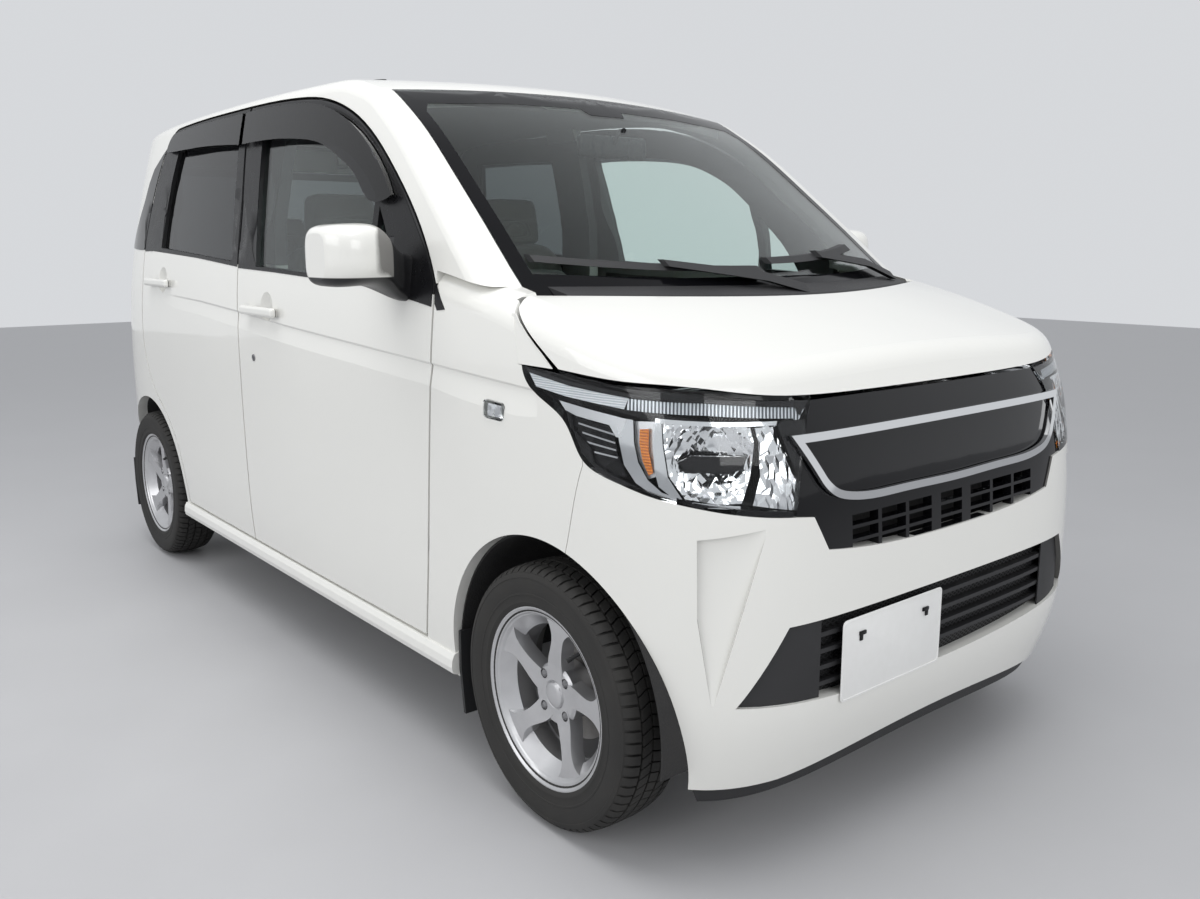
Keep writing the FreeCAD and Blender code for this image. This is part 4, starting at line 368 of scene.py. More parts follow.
def chrome_facets(s):
    """Bright reflector pressed in small facets."""
    facets = s.add("ShaderNodeTexVoronoi", {"distance": "CHEBYCHEV"},
                   {"Vector": s.stretched(1.0, 1.0, 0.45), "Scale": 62.0}, "Distance")
    return s.surface({"Base Color": (0.86, 0.87, 0.88), "Metallic": 1.0, "Roughness": 0.06 + facets * 0.08,
                      "Normal": s.bump(facets, 0.006)})


def grille_mesh(s):
    """Black plastic, with a fine diamond mesh in the middle of the plate behind the bars; the mesh's holes
    are painted near black as painted shade of the openings.
    """
    slant = s.place("Z") * MESH_SLANT
    first, second = [(row * MESH_ROWS).maths("FRACT").within(*MESH_OPEN)
                     for row in (s.place("Y") + slant, s.place("Y") - slant)]
    middle = abs(s.place("Y")).under(MESH_HALF_WIDTH, 0.004) * s.place("X").under(MESH_FACE, SOFT)
    holes = first * second * middle
    dust = s.noise(9.0, 5.0)
    colour = s.blend(dust, (0.010, 0.010, 0.011), (0.022, 0.022, 0.024))
    # The holes' near black is painted shade: the dark openings behind the mesh are only painted on the flat
    # plate
    return s.surface({"Base Color": s.blend(holes, colour, (0.0015, 0.0015, 0.0015)),
                      "Roughness": 0.42 + dust * 0.2 + holes * 0.3, "Normal": s.bump(1 - holes, 0.003)})


def door_lining(s):
    """Interior lining: grained plastic below, woven cloth in the upper field."""
    weave = s.noise(420.0, 2.0)
    grain = s.cells(700.0)
    cloth = s.place("Z").within(*CLOTH_FIELD, 0.004)
    cloth_colour = s.blend(weave, (0.12, 0.115, 0.105), (0.24, 0.23, 0.21))
    return s.surface({"Base Color": s.blend(cloth, (0.045, 0.043, 0.041), cloth_colour),
                      "Roughness": 0.62 + cloth * 0.28,
                      "Normal": s.bump(grain * (1 - cloth) + weave * cloth, 0.0004)})


def alloy(s):
    """Silver wheel paint with fine flakes; turned iron on the brake disc behind the spokes."""
    dirt = s.noise(22.0, 5.0)
    disc = abs(s.place("Y")).under(DISC_FACE, 0.0005)
    silver = s.blend(dirt, (0.50, 0.50, 0.51), (0.64, 0.64, 0.65))
    iron = s.blend(s.noise(40.0, 3.0), (0.20, 0.19, 0.18), (0.34, 0.33, 0.32))
    rough = 0.26 + s.flakes(2200.0) * 0.12 + dirt * 0.08 + disc * 0.12
    return s.surface({"Base Color": s.blend(disc, silver, iron), "Metallic": 0.85, "Roughness": rough,
                      "Coat Weight": 0.6 * (1 - disc), "Coat Roughness": 0.08})


def brushed_steel(s):
    """Steel of the exhaust, brushed across the car."""
    streaks = s.noise(1.0, 2.0, vector=s.stretched(700.0, 60.0, 700.0))
    return s.surface({"Base Color": s.blend(streaks, (0.30, 0.29, 0.28), (0.46, 0.45, 0.44)),
                      "Metallic": 0.9, "Roughness": 0.32 + streaks * 0.15})


def seat_cloth(s):
    """Grey woven seat cloth: a fine weave with flecks; its own grey is darkened as painted shade of the cabin
    under the roof.
    """
    fleck = s.noise(300.0, 2.0)
    weave = s.bands("X", 260.0) * s.bands("Z", 260.0) + fleck * 0.4
    # The cloth's greys are set darker than the cloth itself: painted shade of the cabin under the roof
    return s.surface({"Base Color": s.blend(fleck, (0.075, 0.070, 0.062), (0.17, 0.16, 0.145)),
                      "Roughness": 0.92, "Sheen Weight": 0.3, "Normal": s.bump(weave, 0.0006)})


def glass(s, tint):
    film = s.noise(12.0, 3.0)
    return s.surface({"Base Color": tint, "Transmission Weight": 1.0, "Roughness": film * 0.01, "IOR": 1.12,
                      "Specular IOR Level": 0.5, "Coat Weight": 0.7, "Coat Roughness": 0.01,
                      "Coat IOR": 1.38})


def even(s, pattern, colours, rough, relief, values):
    """A finish that is the same all over: a pattern moves it between its colours and its roughnesses."""
    shade = getattr(s, pattern[0])(*pattern[1:])
    sockets = {"Base Color": s.blend(shade, *colours) if len(colours) == 2 else colours[0],
               "Roughness": rough[0] + shade * rough[1]}
    if relief:
        height, depth = relief
        sockets["Normal"] = s.bump(getattr(s, height[0])(*height[1:]) if height else shade, depth)
    return s.surface({**sockets, **values})


LOOKS = (paint, door_paint, side_paint, mirror_cap, amber, lamp_white, lamp_ribs, chrome_facets, grille_mesh,
         door_lining, alloy, brushed_steel, seat_cloth)

GLASSES = {
    "clear_glass": (0.80, 0.90, 0.87), "dark_glass": (0.10, 0.11, 0.115), "screen_glass": (0.82, 0.91, 0.88),
    "lens": (0.95, 0.97, 0.98), "smoked": (0.045, 0.045, 0.05), "red_lens": (0.55, 0.01, 0.01),
}

# Even finishes: the pattern, one or two colours, the roughness and how far the pattern raises it, the
# relief's pattern (None for the same one) with its depth, and further values
EVEN_FINISHES = {
    "satin_black": (("noise", 35.0, 3.0), ((0.008, 0.008, 0.009),), (0.22, 0.12), (("noise", 700.0), 0.00003),
                    {"Specular IOR Level": 0.22}),
    "ceramic_black": (("noise", 20.0, 3.0), ((0.004, 0.004, 0.005),), (0.10, 0.05), None,
                      {"Specular IOR Level": 0.12}),
    "gloss_black": (("noise", 90.0, 4.0), ((0.006, 0.006, 0.007),), (0.05, 0.05), (("noise", 30.0), 0.00003),
                    {"Coat Weight": 0.30, "Coat Roughness": 0.02, "Specular IOR Level": 0.22}),
    "grained_black": (("noise", 9.0, 5.0), ((0.010, 0.010, 0.011), (0.028, 0.028, 0.030)), (0.48, 0.2),
                      (("cells", 900.0), 0.00015), {}),
    # Black rubber of the seals, valves, hoses and roof strips; on the fuel flap's seam it is painted shade of
    # the gap
    "seal_rubber_and_painted_gap_shade": (("noise", 40.0, 3.0), ((0.008, 0.008, 0.009), (0.02, 0.02, 0.021)), (0.55, 0.2),
                    (("noise", 500.0), 0.0001), {}),
    "tyre_rubber": (("noise", 14.0, 6.0), ((0.012, 0.012, 0.012), (0.040, 0.038, 0.035)), (0.62, 0.25),
                    (("noise", 420.0, 3.0), 0.0002), {"Specular IOR Level": 0.4}),
    "underseal": (("noise", 6.0, 4.0), ((0.012, 0.012, 0.013), (0.035, 0.034, 0.033)), (0.8, 0.15),
                  (("cells", 220.0), 0.0008), {}),
    "soft_plastic": (("noise", 5.0), ((0.035, 0.034, 0.033), (0.055, 0.053, 0.05)), (0.6, 0.1),
                     (("cells", 700.0), 0.0003), {}),
    # Headlining cloth, used on the sun visors: its own grey is darkened as painted shade of the cabin under
    # the roof
    "headlining": (("noise", 500.0, 3.0), ((0.16, 0.155, 0.145), (0.22, 0.21, 0.20)), (0.95, 0.0),
                   (None, 0.0004), {}),
    "plate_white": (("noise", 50.0, 5.0), ((0.78, 0.78, 0.76), (0.84, 0.84, 0.83)), (0.35, 0.2), None,
                    {"Coat Weight": 0.3}),
    "reflector_red": (("cells", 260.0), ((0.45, 0.006, 0.008), (0.75, 0.02, 0.02)), (0.12, 0.1),
                      (None, 0.0008), {"Coat Weight": 1.0, "Coat Roughness": 0.02}),
    "lamp_silver": (("noise", 40.0, 3.0), ((0.80, 0.81, 0.82),), (0.20, 0.08), None,
                    {"Metallic": 0.7, "Coat Weight": 0.5, "Coat Roughness": 0.03}),
    "mirror_silver": (("noise", 8.0, 2.0), ((0.78, 0.80, 0.82),), (0.015, 0.02), None, {"Metallic": 1.0}),
    "chrome": (("noise", 60.0, 3.0), ((0.82, 0.83, 0.84),), (0.05, 0.05), None, {"Metallic": 1.0}),
    "dark_steel": (("noise", 160.0, 4.0), ((0.16, 0.16, 0.165), (0.30, 0.30, 0.31)), (0.30, 0.15), None,
                   {"Metallic": 0.9}),
    "cast_iron": (("noise", 120.0, 6.0), ((0.025, 0.024, 0.023), (0.07, 0.06, 0.055)), (0.7, 0.2),
                  (None, 0.0006), {"Metallic": 0.3}),
}

FINISHES = {look.__name__: (look,) for look in LOOKS}
FINISHES.update({name: (glass, tint) for name, tint in GLASSES.items()})
FINISHES.update({name: (even, *row) for name, row in EVEN_FINISHES.items()})
materials = {}


def finish(name):
    """The material of a name, made once."""
    if name not in materials:
        make, *values = FINISHES[name]
        materials[name] = make(Shader(name), *values)
    return materials[name]


# Finish of each carried-over piece, by the start of its node's name
NODE_FINISHES = (
    ("tyre", "tyre_rubber"), ("rim", "alloy"), ("knuckle", "cast_iron"), ("front_subframe", "cast_iron"),
    ("engine", "cast_iron"), ("front_struts", "cast_iron"), ("rear_axle", "cast_iron"),
    ("wheel_liners", "underseal"), ("floor_pan", "underseal"), ("dashboard", "soft_plastic"),
    ("steering_wheel", "soft_plastic"), ("front_seats", "seat_cloth"), ("rear_seat", "seat_cloth"),
    ("exhaust", "brushed_steel"), ("fuel_tank", "grained_black"), ("windscreen", "screen_glass"),
    ("window_front", "clear_glass"), ("window_rear", "dark_glass"), ("tailgate_window", "dark_glass"),
    ("visor", "smoked"), ("headlamps", "lens"), ("tail_lamps", "red_lens"), ("front_grille", "gloss_black"),
    ("grille_frame", "chrome"), ("lower_grille", "grille_mesh"), ("side_markers", "lens"),
    ("mirror", "mirror_cap"), ("door_", "door_paint"), ("side_frame", "side_paint"),
    ("cowl_cover", "grained_black"), ("wiper", "grained_black"), ("rear_wiper", "grained_black"),
    ("chin_spoiler", "grained_black"), ("mudguards", "grained_black"),
)


def finish_of(node):
    for start, name in NODE_FINISHES:
        if node.startswith(start):
            return name
    return "paint"


class KEI_OT_finish_nodes(bpy.types.Operator):
    """Give every carried-over piece its finish"""
    bl_idname = "kei.finish_nodes"
    bl_label = "Finish the packed pieces"

    def execute(self, context):
        for name, node in frame["nodes"].items():
            node.data.materials.clear()
            node.data.materials.append(finish(finish_of(name)))
        return {"FINISHED"}


# Shapes

UP = Vector((0.0, 0.0, 1.0))
AHEAD = Vector((1.0, 0.0, 0.0))
FAR = 3.0
# An axis this near to the upright counts as upright
NEARLY_UP = 0.9
# Places nearer to each other than this are one, in metres
SAME_PLACE = 1e-6
# Edges of a plate with a greater angle than this, in radians, are rounded
SHARP_ANGLE = 0.7


def mm(x, y, z):
    return Vector((x, y, z)) * MM


def along(station):
    """X in metres of a station: 0 is the rear axle, 1 the front axle, 2 the nose and -1 the tail."""
    if station > 1:
        return FRONT_AXLE + (station - 1) * (CAR_LENGTH / 2 - FRONT_AXLE)
    if station < 0:
        return REAR_AXLE + station * (CAR_LENGTH / 2 + REAR_AXLE)
    return REAR_AXLE + station * (FRONT_AXLE - REAR_AXLE)


def side_view(points, side):
    """Places beside the car from stations and shares of its height."""
    return [Vector((along(station), side * FAR / 2, share * CAR_HEIGHT)) for station, share in points]


def end_view(points, end):
    """Places before or behind the car from shares of its half width and of its height."""
    return [Vector((end * FAR, share * HALF_WIDTH, height * CAR_HEIGHT)) for share, height in points]


class Skin:
    """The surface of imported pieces, to lay thin pieces on."""

    def __init__(self, *nodes):
        bm = bmesh.new()
        for node in nodes:
            bm.from_mesh(frame["nodes"][node].data)
        self.tree = BVHTree.FromBMesh(bm)
        bm.free()

    def under(self, places, way):
        """Where lines through the places first meet the skin; its nearest point for those that miss it."""
        hits = [self.tree.ray_cast(place - way * FAR, way, 3 * FAR)[0] for place in places]
        met = [hit.dot(way) for hit in hits if hit is not None]
        if not met:
            raise RuntimeError("a sheet misses its skin")
        middle = sum(met) / len(met)
        return [hit or self.tree.find_nearest(place + way * (middle - place.dot(way)))[0]
                for place, hit in zip(places, hits)]


def add_mesh_of(bm, part):
    """Joins one form to another and frees it."""
    mesh = bpy.data.meshes.new("part")
    part.to_mesh(mesh)
    bm.from_mesh(mesh)
    part.free()
    bpy.data.meshes.remove(mesh)


def add_sheet(bm, outlines, way, skin, proud=1.2 * MM, thick=1.7 * MM, step=0.03):
    """A sheet laid on a skin: its outline and holes are flat, and a way throws them onto the skin. It stands
    proud of it by a size or by a function of the place, and it's cut into steps so that it can bend."""
    part = bmesh.new()
    edges = []
    for outline in outlines:
        ring = [part.verts.new(place) for place in outline]
        edges += [part.edges.new(pair) for pair in zip(ring, ring[1:] + ring[:1])]
    bmesh.ops.triangle_fill(part, use_beauty=True, use_dissolve=False, edges=edges)
    across = AHEAD if abs(way.z) > NEARLY_UP else way.cross(UP).normalized()
    for axis in (across, way.cross(across).normalized()):
        values = [vert.co.dot(axis) for vert in part.verts]
        low, high = min(values), max(values)
        count = int((high - low) / step)
        for index in range(count):
            level = low + (high - low) * (index + 1) / (count + 1)
            geometry = part.verts[:] + part.edges[:] + part.faces[:]
            bmesh.ops.bisect_plane(part, geom=geometry, dist=SAME_PLACE, plane_co=axis * level,
                                   plane_no=axis)
    verts = part.verts[:]
    flat = [vert.co.copy() for vert in verts]
    for vert, place, hit in zip(verts, flat, skin.under(flat, way)):
        height = proud(place) if callable(proud) else proud
        vert.co = hit + way * (thick - height)
    grown = bmesh.ops.extrude_face_region(part, geom=part.faces[:])["geom"]
    tops = [item for item in grown if isinstance(item, bmesh.types.BMVert)]
    bmesh.ops.translate(part, verts=tops, vec=-way * thick)
    bmesh.ops.recalc_face_normals(part, faces=part.faces[:])
    add_mesh_of(bm, part)


def add_block(bm, centre, size, edge=0.0, steps=2):
    """A block with rounded edges."""
    part = bmesh.new()
    bmesh.ops.create_cube(part, size=1.0, matrix=Matrix.Diagonal((*size, 1.0)))
    if edge:
        bmesh.ops.bevel(part, geom=part.edges[:], offset=edge, segments=steps, profile=0.5, affect="EDGES")
    bmesh.ops.translate(part, verts=part.verts[:], vec=centre)
    add_mesh_of(bm, part)


def add_plate(bm, outline, push, edge=0.0):
    """A flat outline pushed out into a plate with rounded edges."""
    part = bmesh.new()
    face = part.faces.new([part.verts.new(place) for place in outline])
    grown = bmesh.ops.extrude_face_region(part, geom=[face])["geom"]
    bmesh.ops.translate(part, verts=[item for item in grown if isinstance(item, bmesh.types.BMVert)],
                        vec=push)
    bmesh.ops.recalc_face_normals(part, faces=part.faces[:])
    if edge:
        sharp = [item for item in part.edges if item.calc_face_angle(0.0) > SHARP_ANGLE]
        bmesh.ops.bevel(part, geom=sharp, offset=edge, segments=2, profile=0.5, affect="EDGES")
    add_mesh_of(bm, part)


def across_frame(axis):
    """Two directions across an axis."""
    first = axis.cross(UP if abs(axis.z) < NEARLY_UP else AHEAD).normalized()
    return first, axis.cross(first).normalized()


def add_lathe(bm, profile, centre, axis, turns=32):
    """A turned form: its profile is rows of radius and place along the axis, in metres."""
    axis = axis.normalized()
    first, second = across_frame(axis)
    rings = []
    for index in range(turns):
        angle = 2 * math.pi * index / turns
        spoke = first * math.cos(angle) + second * math.sin(angle)
        rings.append([bm.verts.new(centre + spoke * radius + axis * place) for radius, place in profile])
    for near, far in zip(rings, rings[1:] + rings[:1]):
        for low in range(len(profile) - 1):
            bm.faces.new([near[low], far[low], far[low + 1], near[low + 1]])
    bmesh.ops.remove_doubles(bm, verts=[vert for ring in rings for vert in ring], dist=SAME_PLACE)


def add_tube(bm, points, radius, sides=10):
    """A round bar through a row of points, closed at its ends."""
    ways = [(b - a).normalized() for a, b in zip(points[:-1], points[1:])]
    ways = [ways[0]] + [(a + b).normalized() for a, b in zip(ways[:-1], ways[1:])] + [ways[-1]]
    first = across_frame(ways[0])[0]
    rings = []
    for point, way in zip(points, ways):
        first = (first - way * first.dot(way)).normalized()
        second = way.cross(first)
        rings.append([bm.verts.new(point + (first * math.cos(turn) + second * math.sin(turn)) * radius)
                      for turn in (2 * math.pi * index / sides for index in range(sides))])
    for near, far in zip(rings[:-1], rings[1:]):
        for index in range(sides):
            after = (index + 1) % sides
            bm.faces.new((near[index], near[after], far[after], far[index]))
    bm.faces.new(rings[0][::-1])
    bm.faces.new(rings[-1])


def curve_through(points, count):
    """Points of a smooth curve through places, evenly spread between each two of them."""
    row = [points[0] * 2 - points[1]] + list(points) + [points[-1] * 2 - points[-2]]
    result = []
    for a, b, c, d in zip(row[:-3], row[1:-2], row[2:-1], row[3:]):
        for index in range(count):
            t = index / count
            result.append(0.5 * ((2 * b) + (c - a) * t + (2 * a - 5 * b + 4 * c - d) * t ** 2
                                 + (3 * b - a - 3 * c + d) * t ** 3))
    return result + [points[-1].copy()]


def rounded(corners, radius, steps=4):
    """A flat outline with its corners rounded."""
    result = []
    for index, corner in enumerate(corners):
        before = (corners[index - 1] - corner).normalized()
        after = (corners[(index + 1) % len(corners)] - corner).normalized()
        a, b = corner + before * radius, corner + after * radius
        for step in range(steps + 1):
            t = step / steps
            result.append(a * (1 - t) ** 2 + corner * 2 * t * (1 - t) + b * t ** 2)
    return result


def rectangle(centre, half_a, half_b):
    return [centre - half_a - half_b, centre + half_a - half_b, centre + half_a + half_b,
            centre - half_a + half_b]


def piece(name, bm, body, look, smooth=35.0):
    """Makes a form into a piece of the car that moves with a body."""
    bmesh.ops.recalc_face_normals(bm, faces=bm.faces[:])
    mesh = bpy.data.meshes.new(name)
    bm.to_mesh(mesh)
    bm.free()
    mesh.shade_smooth()
    mesh.set_sharp_from_angle(angle=math.radians(smooth))
    mesh.materials.append(finish(look))
    shown = bpy.data.objects.new(name, mesh)
    bpy.context.scene.collection.objects.link(shown)
    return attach(shown, body)


def sheet_piece(name, body, look, outlines, way, skin, smooth=35.0, **sizes):
    """A piece that is one sheet laid on a skin."""
    bm = bmesh.new()
    add_sheet(bm, outlines, way, skin, **sizes)
    piece(name, bm, body, look, smooth)


def block_piece(name, body, look, blocks, steps=2):
    """A piece of blocks: centres in millimetres, sizes and edges in metres."""
    bm = bmesh.new()
    for centre, size, edge in blocks:
        add_block(bm, mm(*centre), size, edge, steps)
    piece(name, bm, body, look)


def body_of(node):
    return frame["nodes"][node]["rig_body"]


# Tyres and wheels

TYRE_RADIUS = 278.5
WHEEL_PLANE = 652.5
CASING_TURNS = 96
TYRE_SMOOTH = 28.0
# Profile of one side of the tyre's casing without its tread: radius and distance from its middle
CASING = [(179.0, 62.0), (190.0, 66.5), (196.0, 71.0), (201.0, 72.4), (204.0, 71.6), (216.0, 73.4),
          (217.0, 74.4), (220.0, 74.5), (221.0, 73.8), (240.9, 76.9), (252.0, 75.6), (253.0, 76.6),
          (255.0, 76.4), (262.0, 73.6), (266.5, 66.0), (270.0, 40.0), (271.0, 14.0)]
TREAD_TOP = [(0.0, 278.5), (31.0, 278.2), (58.9, 274.3), (69.0, 267.9), (73.4, 262.0)]
# Ribs of the tread: distances from the middle, slant in degrees from edge to edge, and the share of the
# pitch that is block
RIBS = [((-11.0, 0.0, 11.0), 1.2, 0.86), ((15.5, 26.0, 37.0), -2.0, 0.84),
        ((41.5, 52.0, 60.0, 66.5, 71.8), 0.9, 0.78)]


def tread_radius(distance):
    """Radius of the tread's top at a distance from the tyre's middle, in millimetres."""
    distance = abs(distance)
    for (a, low), (b, high) in zip(TREAD_TOP[:-1], TREAD_TOP[1:]):
        if distance <= b:
            return low + (high - low) * (distance - a) / (b - a)
    return TREAD_TOP[-1][1]


def add_tread_block(bm, centre, distances, start, span, slant, depth):
    """One block of the tread, its top curved with the tyre."""
    tops, feet = [], []
    for distance in distances:
        turn = slant * (distance - distances[0]) / (distances[-1] - distances[0])
        angles = [start + turn + span * share for share in (0.0, 0.5, 1.0)]
        radius = tread_radius(distance)
        for row, reach in ((tops, radius), (feet, radius - depth)):
            row.append([bm.verts.new(centre + mm(math.sin(math.radians(angle)) * reach, distance,
                                                 math.cos(math.radians(angle)) * reach))
                        for angle in angles])
    for row in range(len(distances) - 1):
        for column in range(2):
            bm.faces.new((tops[row][column], tops[row + 1][column], tops[row + 1][column + 1],
                          tops[row][column + 1]))
        for column in (0, 2):
            bm.faces.new((tops[row][column], tops[row + 1][column], feet[row + 1][column],
                          feet[row][column]))
    for row in (0, -1):
        for column in range(2):
            bm.faces.new((tops[row][column], tops[row][column + 1], feet[row][column + 1],
                          feet[row][column]))


def wheel_place(place):
    """The side of a wheel and its centre along X in millimetres."""
    side = 1 if place.endswith("left") else -1
    return side, (FRONT_AXLE if place.startswith("front") else REAR_AXLE) / MM


class KEI_OT_tyres(bpy.types.Operator):
    """Make the tyres with side wall ribs and tread blocks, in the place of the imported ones"""
    bl_idname = "kei.tyres"
    bl_label = "Tyres"

    def execute(self, context):
        sizes = context.scene.kei_wheels
        pitch = 360.0 / sizes.tread_pitches
        half = [(radius * MM, -distance * MM) for radius, distance in CASING]
        profile = half + [(radius, -distance) for radius, distance in reversed(half)]
        for place in WHEELS:
            side, x = wheel_place(place)
            centre = mm(x, side * WHEEL_PLANE, TYRE_RADIUS)
            bm = bmesh.new()
            add_lathe(bm, profile, centre, Vector((0, side, 0)), turns=CASING_TURNS)
            for index in range(sizes.tread_pitches):
                for rib, (distances, slant, share) in enumerate(RIBS):
                    for way in (-1, 1) if rib else (1,):
                        start = pitch * (index + (0.5 if way > 0 else 0.0) * rib)
                        add_tread_block(bm, centre, [way * distance for distance in distances], start,
                                        share * pitch, way * slant, sizes.groove_depth / MM)
            tyre = piece("tyre_with_tread_" + place, bm, "wheel_" + place, "tyre_rubber", smooth=TYRE_SMOOTH)
            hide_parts("tyre_" + place)
        return {"FINISHED"}


# Wheel fittings: places in millimetres from the wheel's middle, profiles as radius and place along the axle
HUB_FACE = 36.0
LUG_CIRCLE = 50.0
NUTS = 4
CAP_PROFILE = [(0.0, 6.6), (14.0, 6.2), (22.0, 4.6), (25.6, 2.2), (26.2, 0.4)]
NUT_PROFILE = [(0.0, 4.6), (4.0, 4.2), (6.8, 2.2), (8.2, 0.2), (9.2, -1.0), (9.2, -16.5)]
VALVE_FACE = 34.0
VALVE_CIRCLE = 148.0
VALVE_TURN = math.radians(36.0)
# The valve's stem and its cap: start, end and radius in metres
VALVE_PARTS = ((0.0, 0.024, 0.004), (0.024, 0.034, 0.0046))


class KEI_OT_wheel_fittings(bpy.types.Operator):
    """Add the wheels' caps, nuts and valves"""
    bl_idname = "kei.wheel_fittings"
    bl_label = "Wheel caps, nuts and valves"

    def execute(self, context):
        cap, nut = [[(radius * MM, height * MM) for radius, height in profile]
                    for profile in (CAP_PROFILE, NUT_PROFILE)]
        for place in WHEELS:
            side, x = wheel_place(place)
            axis = Vector((0, side, 0))
            body = "wheel_" + place
            face = mm(x, side * (WHEEL_PLANE + HUB_FACE), TYRE_RADIUS)
            bm = bmesh.new()
            add_lathe(bm, cap, face, axis, turns=40)
            piece("hub_cap_" + place, bm, body, "alloy")
            bm = bmesh.new()
            for index in range(NUTS):
                turn = math.radians((index + 0.5) * 360 / NUTS)
                foot = face + mm(LUG_CIRCLE * math.sin(turn), 0, LUG_CIRCLE * math.cos(turn))
                add_lathe(bm, nut, foot, axis, turns=6)
            piece("wheel_nuts_" + place, bm, body, "dark_steel", smooth=25.0)
            bm = bmesh.new()
            spoke = Vector((math.sin(VALVE_TURN), 0, math.cos(VALVE_TURN)))
            foot = mm(x, side * (WHEEL_PLANE + VALVE_FACE), TYRE_RADIUS) + spoke * VALVE_CIRCLE * MM
            lean = axis * 0.8 - spoke * 0.6
            for start, end, radius in VALVE_PARTS:
                add_tube(bm, [foot + lean * start, foot + lean * end], radius)
            piece("valve_" + place, bm, body, "seal_rubber_and_painted_gap_shade")
        return {"FINISHED"}


# Black window surrounds, glass borders and strips. Points of a side view are stations and shares of the
# height; points of an end view are shares of the half width and of the height.

FRONT_FRAME = [(0.388, 0.678), (0.50, 0.6735), (0.62, 0.6670), (0.72, 0.6610), (0.79, 0.6500),
               (0.8435, 0.6400), (0.8435, 0.671), (0.8255, 0.713), (0.7715, 0.795), (0.7465, 0.825),
               (0.7005, 0.8735), (0.6555, 0.9090), (0.6100, 0.9340), (0.5635, 0.9500), (0.498, 0.9600),
               (0.415, 0.9650), (0.3650, 0.9660), (0.3670, 0.912), (0.3820, 0.801)]
FRONT_PANES = [[(0.442, 0.682), (0.720, 0.669), (0.720, 0.793), (0.690, 0.827), (0.652, 0.856),
                (0.601, 0.883), (0.538, 0.898), (0.474, 0.905), (0.416, 0.906)],
               [(0.731, 0.672), (0.788, 0.668), (0.731, 0.776)]]
REAR_FRAME = [(0.384, 0.6800), (0.3765, 0.801), (0.3615, 0.912), (0.3595, 0.966), (0.276, 0.966),
              (0.196, 0.965), (0.0945, 0.9590), (0.0710, 0.943), (0.0480, 0.900), (0.0240, 0.816),
              (0.0090, 0.713), (0.0080, 0.7040), (0.087, 0.7060), (0.250, 0.6925)]
REAR_PANES = [[(0.365, 0.689), (0.087, 0.712), (0.091, 0.785), (0.113, 0.921), (0.342, 0.908)]]
QUARTER_PANEL = [(0.0010, 0.7070), (0.0035, 0.713), (0.0185, 0.816), (0.0425, 0.900), (0.0555, 0.9270),
                 (0.0370, 0.9120), (0.0048, 0.885), (-0.0700, 0.8560), (-0.149, 0.820), (-0.2700, 0.7820),
                 (-0.3925, 0.746), (-0.4800, 0.7190), (-0.4600, 0.7110), (-0.3000, 0.7085),
                 (-0.1217, 0.7068)]
PILLAR_FOOT = [(0.8478, 0.6700), (0.8478, 0.6350), (0.8660, 0.6380)]
FUEL_FLAP = [(-0.62, 0.565), (-0.23, 0.565), (-0.23, 0.650), (-0.62, 0.650)]
SCREEN_RIM = [(-0.868, 0.655), (-0.859, 0.689), (-0.822, 0.820), (-0.783, 0.950), (-0.40, 0.9600),
              (0.0, 0.9630), (0.40, 0.9600), (0.783, 0.950), (0.822, 0.820), (0.859, 0.689), (0.868, 0.655)]
SCREEN_VIEW = [(-0.815, 0.6850), (-0.783, 0.800), (-0.748, 0.915), (-0.715, 0.9290), (-0.40, 0.9380),
               (-0.10, 0.9400), (-0.08, 0.9290), (0.08, 0.9290), (0.10, 0.9400), (0.40, 0.9380),
               (0.715, 0.9290), (0.748, 0.915), (0.783, 0.800), (0.815, 0.6850), (0.40, 0.6770),
               (-0.40, 0.6770)]
BACK_RIM = [(-0.697, 0.6570), (-0.658, 0.9030), (0.658, 0.9030), (0.697, 0.6570)]
BACK_VIEW = [(-0.650, 0.6850), (-0.620, 0.8850), (0.620, 0.8850), (0.650, 0.6850)]
ROOF_SEAM = 0.69
STRIP_WIDTH = 11.0
STRIP_MIDDLE = 0.29
STRIP_HALF = 0.325
FLAP_CORNER = 0.02
FLAP_INSIDE = 0.965


